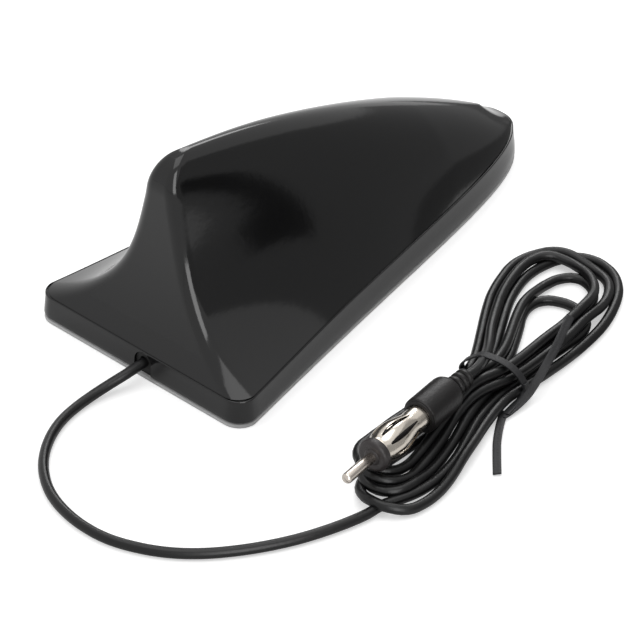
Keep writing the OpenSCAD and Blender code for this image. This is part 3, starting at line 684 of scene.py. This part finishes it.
@dataclass
class Lead:
    """The coaxial cable: its run from the cover, five turns of the hank and its end in the plug.

    Sizes are in millimetres. Each pass is one turn round the big loop, and small holds the centre and
    radius of the arc that joins it to the next. A lifted strand falls away by fall for each millimetre.
    """

    diameter: float = 3.0
    step: float = 2.5
    run: Sequence[Point] = (
        (-74.5, -2.5, 5.2), (-78, -2.5, 5.2), (-84, -2.2, 4.5), (-89.8, -0.7, 3), (-95.7, 0.3, 1.9),
        (-102.6, 0.2, 1.5), (-109.7, -1.2, 1.5), (-117, -4.4, 1.5), (-123.8, -9.2, 1.5),
        (-129, -14.9, 1.5), (-132.8, -21.2, 1.5), (-135.3, -28.8, 1.5), (-136.3, -36.8, 1.5),
        (-135.7, -44.9, 1.5), (-133.2, -52.6, 1.5), (-129.3, -60, 1.5), (-123.8, -66.8, 1.5),
        (-116.9, -72.8, 1.5), (-108.9, -78.2, 1.5), (-100.7, -82.5, 1.5), (-92.5, -85.7, 1.5),
        (-86.6, -87.5, 1.5), (-82.5, -88.5, 1.5))
    passes: Sequence[Sequence[Pair]] = (
        ((-77.8, -88.8), (-73.5, -90.1), (-70.5, -91.4), (-65.8, -92.5), (-60.4, -92.9), (-54.2, -92.2),
         (-47.5, -90.5), (-40.9, -88), (-33.8, -85.2), (-26.7, -83.2), (-20.3, -82), (-14, -81.6),
         (-6, -81.2), (2, -81), (10, -81.1), (17, -80.9), (21.4, -79.4), (24.2, -76.6), (25.7, -72.8),
         (25.6, -68.4), (24, -64.6), (21.3, -62.4), (17.4, -61.9), (12.4, -63.4), (7.1, -66.6),
         (0.8, -70.1), (-5.6, -73.3), (-14, -75.2), (-24, -76.6), (-35, -77.8), (-47, -78.4), (-58, -78.2),
         (-65, -78)),
        ((-66, -96.8), (-62.8, -96.7), (-60.1, -96.3), (-54.6, -95.1), (-48.1, -93.1), (-41.3, -90.9),
         (-33.8, -88.2), (-27.7, -86.4), (-21.4, -85), (-14, -84.5), (-4, -84.9), (9.6, -84.9),
         (23.2, -83.2), (31, -80.8), (39.4, -76.6), (44.8, -71.4), (47.3, -64.8), (46.5, -59),
         (43.1, -55), (38.4, -53), (33.6, -52.1), (27.9, -52.2), (22.4, -53.5), (15.4, -56.2), (9.3, -59.5),
         (3.2, -63), (-2.6, -66.4), (-8.1, -69.3), (-14, -71.8), (-24, -74), (-35, -74.8), (-47, -75.7),
         (-56, -76), (-62.5, -76)),
        ((-62.5, -90.1), (-56, -89.2), (-47.4, -86.9), (-41.1, -84.9), (-34, -82.5),
         (-26.9, -80.5), (-20.2, -79.2), (-14, -78.7), (-5, -79.2), (5, -79.2), (12, -78.7), (18, -77.7),
         (25, -76.3), (31.3, -73.8), (35.4, -70.6), (37.4, -66.6), (36.8, -62.4), (33, -59.6), (27, -58.9),
         (21.7, -59.8), (15.9, -61.3), (9.5, -64), (3, -67.3), (-2.6, -70.2), (-8, -72.2), (-14, -73.4),
         (-24, -73), (-35, -72.4), (-47, -72.8), (-56, -73.4), (-61, -73.6)),
        ((-60.5, -87), (-54.5, -86), (-47.4, -84.2), (-41.1, -82.1), (-34.6, -80.5),
         (-27.9, -79.9), (-21.5, -80.5), (-14, -81.4), (-4, -82), (6, -81.8), (13, -80.9), (19.5, -79.8),
         (27, -78.8), (33.5, -77), (39, -73.6), (42.3, -69.4), (43.3, -64.7), (43.2, -59.4), (42.6, -54.8),
         (40.6, -50.4), (36.6, -47), (31, -45.6), (24.6, -46.8), (15.2, -50.1), (6.9, -54.7), (-1.2, -59.8),
         (-8.6, -64.4), (-14, -67.2), (-20, -68.8), (-30, -69.3), (-41, -69.6), (-51, -70.2), (-58.5, -70.8)),
        ((-58.8, -83.8), (-53.5, -83), (-48, -81.8), (-43.4, -80.6), (-38.2, -79.5),
         (-32.5, -78.5), (-26.3, -78), (-20.6, -78.3), (-14, -79), (-4, -79.2), (5, -78.6), (12, -77.9),
         (18.3, -77.2), (24.5, -76.6), (30, -74.8), (34.5, -71.6), (38, -67), (39.9, -62), (40, -57),
         (38.4, -52.8), (34.4, -50.3), (28.8, -49.8), (23, -51), (15.1, -53.8), (7.7, -57.6), (0.4, -62),
         (-5, -65.9), (-9.6, -69), (-14.5, -71.9), (-19, -74.4), (-23.6, -76.5), (-29.44, -77.76)))
    small: Sequence[Point] = (
        (-69.5, -87.3, 9.3), (-67.2, -83.2, 7.2), (-65.5, -80.5, 6.9), (-63.6, -77.5, 6.6))
    fall: float = 0.42
    fall_reach: float = 14.0
    plug_z: float = 11.6
    end_run: float = 26.0
    below_plug: float = 4.9
    plug_x: float = -36.0
    end_free: float = 40.0

    def plan(self) -> list[Point]:
        """Lay out the route: the run at its own heights, then the hank flat on the surface.

        Returns:
            Points in millimetres that the cable passes through.
        """
        rest = self.diameter / 2
        points = list(self.run)
        for number, row in enumerate(self.passes):
            points += [(x, y, rest) for x, y in row]
            if number < len(self.small):
                cx, cy, r = self.small[number]
                for degrees in (95, 120, 145, 170, 195, 220, 245, 268):
                    a = math.radians(degrees)
                    points.append((cx + r * math.cos(a), cy + r * math.sin(a), rest))
        return points

    def laid(self) -> np.ndarray:
        """The cable's centreline, with each turn laid on those under it.

        Returns:
            Points in millimetres at an even spacing.
        """
        path = catmull(self.plan(), self.step)
        d, n = self.diameter, len(path)
        start = int(np.argmin(np.linalg.norm(path[:, :2] - np.array(self.run[-1][:2]), axis=1)))
        apart = np.linalg.norm(path[:, None, :2] - path[None, :, :2], axis=2)
        order = np.arange(n)
        under = (order[None, :] < order[:, None] - int(4 * d / self.step)) & (apart < d)
        lift = np.where(under, np.sqrt(np.maximum(0.0, d * d - apart ** 2)), 0.0)
        run = order * self.step
        slope = self.fall * np.abs(run[:, None] - run[None, :])
        near = slope < self.fall_reach
        rise = np.array([smooth(1 - (run[-1] - along) / self.end_run) for along in run])
        base = np.maximum(path[:, 2], d / 2 + (self.plug_z - d / 2) * rise)
        pressed = (path[:, 0] < self.plug_x) & (run < run[-1] - self.end_free)
        height = base
        for _ in range(12):
            need = np.maximum(base, np.where(under, height[None, :] + lift, 0.0).max(axis=1))
            need[:start - 6] = base[:start - 6]
            height = np.maximum(np.where(near, need[None, :] - slope, 0.0).max(axis=1), base)
            height = np.where(pressed, np.minimum(height, self.below_plug), height)
        kernel = np.array([1, 2, 3, 4, 3, 2, 1], float)
        soft = np.convolve(np.pad(height, 3, mode="edge"), kernel / kernel.sum(), mode="valid")
        blend = np.clip((order - start) / 6.0, 0, 1) * np.clip((n - 1 - order) / 3.0, 0, 1)
        path[:, 2] = height + (soft - height) * blend
        return path

    def build(self) -> tuple[Piece, float]:
        """Build the cable as one open curve.

        Returns:
            The curve object and its length in metres.
        """
        path = self.laid()
        length = float(run_along(path)[-1]) * MM
        data = bpy.data.curves.new("lead", "CURVE")
        data.dimensions = "3D"
        data.bevel_depth = self.diameter / 2 * MM
        data.bevel_resolution = 5
        data.use_fill_caps = True
        keep = path[::2] if (len(path) - 1) % 2 == 0 else np.vstack([path[::2], path[-1]])
        data.resolution_u = 3
        spline = data.splines.new("BEZIER")
        spline.bezier_points.add(len(keep) - 1)
        for point, place in zip(spline.bezier_points, keep):
            point.co = Vector(place) * MM
            point.handle_left_type = point.handle_right_type = "AUTO"
        log.info("lead: %d points, %.3f m, top at %.1f mm", len(keep), length, path[:, 2].max())
        return link(bpy.data.objects.new("lead", data)), length


@dataclass
class TwistTie:
    """Flat strap round the hank's waist, with its two free ends.

    Sizes are in millimetres. The bulge holds places across the waist and heights that the ring clears.
    """

    centre: tuple[float, float] = (-15.0, -75.8)
    yaw: float = math.radians(8)
    width: float = 2.4
    thick: float = 0.6
    reach: float = 1.8
    bulge: Sequence[Pair] = (
        (10.2, 0.35), (10.6, 1.8), (9.6, 3.8), (7.9, 5.5), (5.8, 6.9), (2.0, 8.6), (-1.9, 9.0), (-5.2, 8.4),
        (-8.1, 6.9), (-10.2, 4.3), (-10.7, 1.4), (-10.3, 0.35))
    section: Sequence[Pair] = (
        (-1, -0.35), (-0.97, -0.75), (-0.8, -1), (-0.3, -0.86), (0.3, -0.86), (0.8, -1), (0.97, -0.75),
        (1, -0.35), (1, 0.35), (0.97, 0.75), (0.8, 1), (0.3, 0.86), (-0.3, 0.86), (-0.8, 1), (-0.97, 0.75),
        (-1, 0.35))
    side: Sequence[Point] = ((-13.5, -86.1, 4.6), (-13.9, -86.7, 2.6), (-16, -87, 1.5), (-19.5, -87.3, 1.2),
                             (-24.4, -88.1, 1.2))
    tail_up: Sequence[Point] = ((-25.6, -88, 0.9), (-22, -88.3, 1.1), (-18.4, -88.4, 1.8), (-15, -88.5, 3.2),
                                (-12, -88.4, 5.2), (-7, -87.9, 8.4), (-2.2, -86.6, 9.9), (12.9, -80.1, 10.0))
    tail_down: Sequence[Point] = ((-23.2, -87.0, 0.8), (-25.9, -88.1, 0.8), (-30.9, -91.1, 0.8),
                                  (-35.2, -94.1, 0.8), (-39.2, -97.4, 0.8), (-45.3, -102.6, 0.8))

    def strap(self, name: str, path: np.ndarray, flats: np.ndarray, closed: bool) -> Piece:
        """Sweep the strap's rounded flat section along a path.

        Args:
            name: Name of the piece.
            path: Centreline in millimetres.
            flats: For each point, the direction across the strap's width.
            closed: Whether the path is a ring.

        Returns:
            The piece.
        """
        n = len(path)
        rings: list[list[Point]] = []
        for i in range(n):
            after, before = (path[(i + 1) % n], path[i - 1]) if closed else (
                path[min(i + 1, n - 1)], path[max(i - 1, 0)])
            way = (after - before) / np.linalg.norm(after - before)
            wide = flats[i] - way * np.dot(flats[i], way)
            wide /= np.linalg.norm(wide)
            thin = np.cross(way, wide)
            rings.append([tuple(path[i] + wide * a * self.width / 2 + thin * b * self.thick / 2)
                          for a, b in self.section])
        return skin(name, rings, () if closed else (0, n - 1), closed, 50.0)

    def ring(self, strands: np.ndarray) -> Piece:
        """The turn of the strap, drawn tight round the strands at the hank's waist.

        Args:
            strands: The cable's centreline in millimetres.

        Returns:
            The piece.
        """
        c, s = math.cos(self.yaw), math.sin(self.yaw)
        away = strands[:, :2] - np.array(self.centre)
        near = (np.abs(away @ [c, s]) < self.width / 2 + 1.0) & (np.abs(away @ [-s, c]) < 14)
        spots = list(self.bulge)
        for side, z in zip(away[near] @ [-s, c], strands[near, 2]):
            for a in np.linspace(0, 2 * math.pi, 24, endpoint=False):
                spots.append((side + self.reach * math.cos(a), max(0.35, z + self.reach * math.sin(a))))
        hull: list[Pair] = []
        for order in (sorted(spots), sorted(spots, reverse=True)):
            half: list[Pair] = []
            for spot in order:
                while len(half) > 1 and ((half[-1][0] - half[-2][0]) * (spot[1] - half[-2][1])
                                         - (half[-1][1] - half[-2][1]) * (spot[0] - half[-2][0])) <= 0:
                    half.pop()
                half.append(spot)
            hull += half[:-1]
        loop = np.array(hull + hull[:1])
        around = spaced(loop, np.linspace(0, run_along(loop)[-1], 97)[:-1])
        for _ in range(4):
            around = (np.roll(around, 1, axis=0) + 2 * around + np.roll(around, -1, axis=0)) / 4
        log.info("strap ring: %.1f mm high", around[:, 1].max() + self.thick / 2)
        path = [(self.centre[0] - side * s, self.centre[1] + side * c, max(0.34, z)) for side, z in around]
        return self.strap("tie_ring", np.array(path), np.array([(c, s, 0.0)] * len(path)), True)

    def tail(self, name: str, route: Sequence[Point], turn: float) -> Piece:
        """A free end of the strap.

        Args:
            name: Name of the piece.
            route: Points along it in millimetres.
            turn: How far its flat side turns along its length, in radians.

        Returns:
            The piece.
        """
        path = catmull(route, 0.8)
        c, s = math.cos(self.yaw), math.sin(self.yaw)
        start = last = np.array([c, s, 0.0])
        flats = []
        for i in range(len(path)):
            t = smooth(i / (len(path) - 1) * 2.2)
            way = path[min(i + 1, len(path) - 1)] - path[max(i - 1, 0)]
            level = np.cross(way, [0, 0, 1.0])
            level /= np.linalg.norm(level)
            last = level = -level if np.dot(level, last) < 0 else level
            flats.append(start * (1 - t) + level * t + np.array([0, 0, math.sin(turn) * t]))
        return self.strap(name, path, np.array(flats), False)


@dataclass
class FinCover:
    """The moulded cover and its pad: the part's own shape functions, finer, with the rim's groove.

    Sizes are in millimetres, with x from the tail until a level is whole.
    """

    length: float = 158.0
    width: float = 81.6
    rim_rear: float = 8.7
    rim_front: float = 10.2
    rim_run: float = 60.0
    fin_rise: float = 59.8
    taper: float = 0.18
    bow: float = 0.051
    nose_square: float = 5.4
    nose_round: float = 2.4
    nose_back: float = 10.0
    corner_r: float = 6.0
    tail_r: float = 4.0
    ridge_rear: float = 6.8
    ridge_nose: float = 14.3
    slant: float = 9.6
    curve: float = 3.8
    foot: float = 1.0
    roll: float = 11.7
    roll_start: float = 0.815
    hollow: float = 4.87
    fade: float = 1.76
    swell: float = 1.3
    slope: float = 0.383
    power: float = 2.05
    end: float = 0.02
    ridge_round: float = 3.85
    wall: float = 2.2
    draft: float = 0.6
    ledge: float = 0.5
    edge: float = 0.3
    crease: float = 0.35
    pad: float = 1.2
    groove: float = 0.9
    groove_h: float = 0.55
    exit_y: float = -2.5
    exit_h: float = 5.2
    notch_w: float = 6.4
    notch_depth: float = 4.5
    rear_n: int = 16
    corner_n: int = 12
    flank_n: int = 96
    levels: int = 60
    inner_levels: int = 12
    foam: Sequence[Pair] = (
        (0.3, 0.0), (0.12, 0.1), (0.08, 0.35), (0.14, 0.6), (0.08, 0.85), (0.12, 1.08), (0.3, 1.19))
    foam_wave: float = 0.06

    def half_width(self, x: float, reach: float) -> float:
        """Half of the plan's width at x from the tail, closed by the nose at reach."""
        t = min(1.0, max(0.0, x / reach))
        return ((self.width / 2 - self.taper * x + self.bow * x * t * t)
                * (1 - t ** self.nose_square) ** (1 / self.nose_round))

    def rim_z(self, x: float) -> float:
        """Height of the rim's top edge."""
        return self.rim_rear + (self.rim_front - self.rim_rear) * smooth(x / self.rim_run)

    def skin_z(self, x: float, v: float) -> float:
        """Height of the fin's skin.

        Args:
            x: Distance from the tail.
            v: Level from 0 at the rim to 1 at the ridge.

        Returns:
            The height in millimetres.
        """
        t = min(1.0, max(0.0, x / self.length))
        rise = self.fin_rise * (1 - self.slope * t - (1 - self.end - self.slope) * t ** self.power)
        return self.rim_z(x) + v * rise

    def flank_y(self, x: float, v: float, reach: float, inset: float) -> float:
        """Half of the fin's width.

        Args:
            x: Distance from the tail.
            v: Level from 0 at the rim to 1 at the ridge.
            reach: Distance of the level's nose from the tail.
            inset: Distance inside the plan's outline.

        Returns:
            The half-width in millimetres.
        """
        t = min(1.0, max(0.0, x / self.length))
        w = max(0.0, self.half_width(x, reach) - inset * min(1.0, (reach - x) / 4))
        r = min(self.ridge_rear + (self.ridge_nose - self.ridge_rear) * t, 0.6 * w)
        k = self.hollow * (1 - t) ** self.fade - self.swell * smooth(t)
        k = 0.001 if abs(k) < 0.001 else k
        section = (math.exp(-k * v) - math.exp(-k)) / (1 - math.exp(-k))
        return r * math.sqrt(max(0.0, 1 - v ** self.ridge_round)) + (w - r) * section

    def tail_x(self, v: float) -> float:
        """Distance of the tail face from the foot's rear edge at level v."""
        roll = min(1.0, max(0.0, (v - self.roll_start) / (1 - self.roll_start)))
        return (self.foot + self.slant * (1 - math.exp(-self.curve * v))
                + self.roll * (1 - math.sqrt(1 - roll * roll)))

    def half_outline(self, x0: float, r: float, reach: float,
                     side: Callable[[float], float]) -> list[Pair]:
        """One half of a level's outline, from the middle of the tail round to the nose.

        Args:
            x0: Where the tail's face stands.
            r: Radius of the tail's corner.
            reach: Where the nose ends.
            side: The half-width for a distance from the tail.

        Returns:
            Distances from the tail and from the middle.
        """
        xe, ye = x0 + r, side(x0 + r)
        half = [(x0, (ye - r) * i / self.rear_n) for i in range(self.rear_n)]
        half += [(xe - r * math.cos(a), ye - r + r * math.sin(a))
                 for a in np.linspace(0, math.pi / 2, self.corner_n + 1)]
        for i in range(1, self.flank_n):
            x = xe + (reach - xe) * math.sin(math.pi / 2 * i / self.flank_n)
            half.append((x, side(x)))
        return [*half, (reach, 0.0)]

    def fin_half(self, v: float, gap: float = 0.0) -> list[Point]:
        """One half of a level of the fin.

        Args:
            v: Level from 0 at the rim to 1 at the ridge.
            gap: Distance inside the outer skin.

        Returns:
            The points, with x from the tail.
        """
        x0 = self.tail_x(v) + gap
        inset = self.draft + self.ledge + gap
        reach = self.length - inset - self.nose_back * (1 - math.cos(math.pi / 2 * v))
        want = self.corner_r + (self.tail_r - self.corner_r) * min(1.0, v / 0.15) - 0.5 * gap
        r = min(want, 0.6 * self.flank_y(x0, v, reach, inset))
        half = self.half_outline(x0, r, reach, lambda x: self.flank_y(x, v, reach, inset))
        return [(x, y, self.skin_z(max(x, x0 + r), v) - gap) for x, y in half]

    def foot_half(self, inset: float, z: float | None, drop: float = 0.0) -> list[Point]:
        """One half of the foot's outline.

        Args:
            inset: Distance inside the rim's edge.
            z: Height, or None for the rim's own height less drop.
            drop: Distance below the rim's top edge, where z is None.

        Returns:
            The points, with x from the tail.
        """
        reach = self.length - inset
        half = self.half_outline(
            inset, max(1.0, self.corner_r - inset), reach,
            lambda x: max(0.02, self.half_width(x, reach) - inset * min(1.0, (reach - x) / 4)))
        return [(x, y, self.rim_z(x) - drop if z is None else z) for x, y in half]

    def rings(self) -> list[list[Point]]:
        """Half levels of the whole shell.

        Returns:
            The levels, from inside the shell's top down and up its outer skin.
        """
        inner = [self.fin_half(0.97 * (1 - (1 - i / self.inner_levels) ** 2), self.wall)
                 for i in range(self.inner_levels, -1, -1)]
        inner += [self.foot_half(self.wall, 3.8), self.foot_half(self.wall, self.pad)]
        top = self.pad + self.groove_h
        rim = [self.foot_half(inset, z) for inset, z in (
            (self.groove, self.pad), (self.groove, top), (0.3, top), (0.06, top + 0.1), (0.0, top + 0.35))]
        tall = self.rim_rear - top - 0.95
        rim += [self.foot_half(self.draft * k / 6, None, 0.5 + tall * (1 - k / 6)) for k in range(1, 6)]
        rim += [self.foot_half(self.draft - 0.05 + self.edge * (1 - math.cos(a)), None,
                               self.edge * (1 - math.sin(a))) for a in np.linspace(0, math.pi / 2, 6)]
        rim += [self.foot_half(self.draft + 0.3, None, 0.05),
                self.foot_half(self.draft + 0.33, None, self.crease)]
        lowered = [(x, y, z - self.crease) for x, y, z in self.fin_half(0.0)]
        shares = [0.0, 0.0015] + [1 - (1 - i / self.levels) ** 2 for i in range(1, self.levels + 1)]
        return [*inner, *rim, lowered, *(self.fin_half(v) for v in shares)]

    def whole(self, near: Sequence[Point], far: Sequence[Point]) -> list[Point]:
        """Join two halves of a level, with x moved to the foot's middle."""
        return [(x - self.length / 2, y, z) for x, y, z in (*near, *far[-2:0:-1])]

    def build(self) -> Piece:
        """Build the shell and cut the cable's notch in it.

        Returns:
            The cover.
        """
        rings = [self.whole(half, [(x, -y, z) for x, y, z in half]) for half in self.rings()]
        cover = skin("fin_cover", rings, (0,), sharp=30.0)
        cutter = self.notch()
        cut = cover.modifiers.new("notch", "BOOLEAN")
        cut.operation, cut.solver, cut.object = "DIFFERENCE", "MANIFOLD", cutter
        graph = bpy.context.evaluated_depsgraph_get()
        cover_mesh = bpy.data.meshes.new_from_object(cover.evaluated_get(graph))
        cover.modifiers.clear()
        cover.data = cover_mesh
        bpy.data.objects.remove(cutter)
        shade(cover, 30.0)
        return cover

    def pad_sheet(self) -> Piece:
        """Build the foam pad under the rim, its edge a little rounded and uneven from cutting.

        Returns:
            The pad.
        """
        rings: list[list[Point]] = []
        for inset, z in self.foam:
            half = self.foot_half(inset, z)
            cuts = [self.foam_wave * math.sin(1.9 * i + 4 * z) * math.sin(0.37 * i) for i in range(len(half))]
            near = [(x, y - max(0.0, cut), z) for (x, y, _), cut in zip(half, cuts)]
            far = [(x, min(0.0, cut) - y, z) for (x, y, _), cut in zip(half, cuts)]
            rings.append(self.whole(near, far))
        return skin("foam_edge", rings, (0, len(rings) - 1), sharp=60.0)

    def notch(self) -> Piece:
        """Build the arched cutter for the cable's notch, with straight sides below.

        Returns:
            The cutter.
        """
        r, rear = self.notch_w / 2, -self.length / 2
        outline = [(self.exit_y + r * math.cos(a), self.exit_h + r * math.sin(a))
                   for a in np.linspace(0, math.pi, 28)]
        outline += [(self.exit_y - r, -1.0), (self.exit_y + r, -1.0)]
        rings = [[(x, y, z) for y, z in outline] for x in (rear - 2, rear + self.notch_depth)]
        return skin("notch_cutter", rings, (0, 1))


@dataclass
class Studio:
    """Pale floor, soft lamps, world and the camera at the photograph's angle.

    The camera's place is in millimetres, and lamps and cards are in metres. A lamp has a place, an aim,
    two sizes and watts. A card has a corner, two sides and a strength.
    """

    place: Point = (-656.07, -584.30, 639.16)
    azimuth: float = math.radians(-48.206)
    elevation: float = math.radians(37.096)
    roll: float = math.radians(0.512)
    lens: float = 210.386
    lamps: Sequence[tuple[str, Point, Point, float, float, float]] = (
        ("top_softbox", (0.1, 0.1, 1.6), (0.0, 0.0, 0.0), 1.3, 1.3, 10.0),
        ("back_softbox", (1.3, 0.9, 1.1), (0.0, 0.0, 0.03), 0.9, 0.7, 9.0),
        ("left_softbox", (-1.3, 0.9, 0.9), (0.0, 0.0, 0.03), 0.7, 0.9, 7.0))
    cards: Sequence[tuple[str, Point, Point, Point, float]] = (
        ("grey_card", (0.155, -0.35, 0.0), (0.0, 0.77, 0.0), (0.0, 0.0, 0.12), 0.4),
        ("black_card", (0.15, -0.085, 0.019), (0.0, 0.035, 0.0), (0.0, 0.0, 0.026), 0.02),
        ("low_card", (0.07, -0.05, 0.0004), (0.0, 0.47, 0.0), (0.084, 0.0, 0.0), 0.2),
        ("bright_card", (0.48, -0.8, -0.02), (-0.42, -0.12, 0.0), (0.0, 0.15, 1.0), 5.5))

    ambient: float = 0.55
    backdrop: Color = (0.95, 0.95, 0.95)
    floor_size: float = 3.0
    floor_tone: Color = (0.78, 0.78, 0.78)
    floor_seen: float = 0.46
    floor_mirrored: float = 0.12

    def camera(self) -> None:
        """Place the camera and make it the scene's own."""
        a, e, r = self.azimuth, self.elevation, self.roll
        back = Vector((math.sin(a) * math.cos(e), -math.cos(a) * math.cos(e), math.sin(e)))
        right = Vector((math.cos(a), math.sin(a), 0.0))
        up = back.cross(right)
        across = math.cos(r) * right + math.sin(r) * up
        above = -math.sin(r) * right + math.cos(r) * up
        turn = Matrix((across, above, back)).transposed().to_4x4()
        data = bpy.data.cameras.new("camera")
        data.lens, data.sensor_width = self.lens, 36.0
        data.clip_start, data.clip_end = 0.05, 50.0
        camera = link(bpy.data.objects.new("camera", data))
        camera.matrix_world = Matrix.Translation(Vector(self.place) * MM) @ turn
        bpy.context.scene.camera = camera

    def light(self) -> None:
        """Make the lamps and the world."""
        for name, place, aim, wide, high, power in self.lamps:
            data = bpy.data.lights.new(name, "AREA")
            data.shape, data.size, data.size_y, data.energy = "RECTANGLE", wide, high, power
            lamp = link(bpy.data.objects.new(name, data))
            lamp.location = place
            lamp.visible_glossy = name != "left_softbox"
            lamp.rotation_euler = (Vector(place) - Vector(aim)).to_track_quat("Z", "Y").to_euler()
        world = bpy.data.worlds.new("studio")
        w = cleared(world)
        rays = w.add("LightPath").outputs
        seen = w.math("MAXIMUM", rays["Is Camera Ray"], rays["Is Transmission Ray"])
        shown = w.math("MAXIMUM", seen, rays["Is Glossy Ray"])
        around = w.add("Background", (1, 1, 1, 1), self.ambient)
        behind = w.add("Background", (*self.backdrop, 1), 1.0)
        mix = w.add("MixShader", shown, around.outputs[0], behind.outputs[0])
        w.add("OutputWorld", mix.outputs[0])
        bpy.context.scene.world = world
        bpy.context.scene.view_settings.view_transform = "Standard"

    def flat(self, name: str, corners: Sequence[Sequence[float]]) -> tuple[Piece, Wiring]:
        """Make a flat sheet of the stage, with an empty material.

        Args:
            name: Name of the sheet and its material.
            corners: Its four corners in metres.

        Returns:
            The sheet and its material's wiring.
        """
        mesh = bpy.data.meshes.new(name)
        mesh.from_pydata(corners, [], [(0, 1, 2, 3)])
        material = bpy.data.materials.new(name)
        mesh.materials.append(material)
        return link(bpy.data.objects.new(name, mesh)), cleared(material)

    def stand_cards(self) -> None:
        """Stand the cards that only reflections see, measured to the camera's right, ahead and up."""
        right = Vector((math.cos(self.azimuth), math.sin(self.azimuth), 0.0))
        axes = Matrix((right, Vector((-right.y, right.x, 0.0)), Vector((0.0, 0.0, 1.0)))).transposed()
        for name, corner, wide, high, tone in self.cards:
            base, along, rise = (axes @ Vector(way) for way in (corner, wide, high))
            card, w = self.flat(name, [base, base + along, base + along + rise, base + rise])
            card.visible_camera = card.visible_diffuse = card.visible_shadow = False
            w.add("OutputMaterial", w.add("Emission", (1, 1, 1, 1), tone).outputs[0])

    def floor(self) -> None:
        """Lay the pale floor, which keeps the aerial's shadow."""
        far = self.floor_size
        floor, w = self.flat("floor", [(-far, -far, 0), (far, -far, 0), (far, far, 0), (-far, far, 0)])
        rays = w.add("LightPath").outputs
        seen = w.math("MAXIMUM", rays["Is Camera Ray"], rays["Is Transmission Ray"])
        mirrored = w.math("MULTIPLY", rays["Is Glossy Ray"], self.floor_mirrored)
        strength = w.math("MULTIPLY_ADD", seen, self.floor_seen, mirrored)
        paint = w.add("BsdfDiffuse", (*self.floor_tone, 1))
        glow = w.add("Emission", (1, 1, 1, 1), strength)
        both = w.add("AddShader", paint.outputs[0], glow.outputs[0])
        w.add("OutputMaterial", both.outputs[0])


INNER_NODES: dict[str, Part] = {
    "base_plate": Part.PLATE, "cover_screws": Part.SCREW, "circuit_board": Part.BOARD,
    "board_screws": Part.SCREW, "top_load_plate": Part.SHEET, "coil_former": Part.FORMER,
    "loading_coil": Part.COIL, "matching_coil": Part.FERRITE, "chip_parts": Part.CHIP,
    "cable_clamp": Part.CLAMP, "clamp_screws": Part.SCREW, "cable_grommet": Part.BUSH,
    "cable_core": Part.CORE, "cable_braid": Part.BRAID}


def main() -> None:
    """Build the camera, the cord with its strap and plug, the cover and the studio, in that order."""
    logging.basicConfig(level=logging.INFO, format="%(name)s %(message)s")
    studio = Studio()
    studio.camera()
    palette = Palette()

    cable, tie, plug, fin = Lead(), TwistTie(), Plug(), FinCover()
    lead, length = cable.build()
    palette.dress(lead, Part.CABLE, "cable", "cable_hank")
    ring = palette.dress(tie.ring(cable.laid()), Part.TIE, "cable_tie")
    tails = [palette.dress(tie.tail(name, route, turn), Part.TIE) for name, route, turn in (
        ("tie_side", tie.side, 0.3), ("tie_end_up", tie.tail_up, 0.5), ("tie_end_down", tie.tail_down, 0.2))]
    pieces = [palette.dress(plug.pin(), Part.PIN, "plug_pin"),
              palette.dress(plug.collar(), Part.COLLAR, "plug_insulator"),
              palette.dress(plug.sleeve(), Part.SLEEVE, "plug_sleeve"),
              palette.dress(plug.boot(), Part.BOOT, "plug_boot")]

    palette.dress(fin.build(), Part.COVER, "cover")
    palette.dress(fin.pad_sheet(), Part.PAD, "adhesive_pad")
    for node, part in INNER_NODES.items():
        palette.dress_node(node, part)

    studio.light()
    studio.floor()
    studio.stand_cards()


if __name__ == "__main__":
    main()
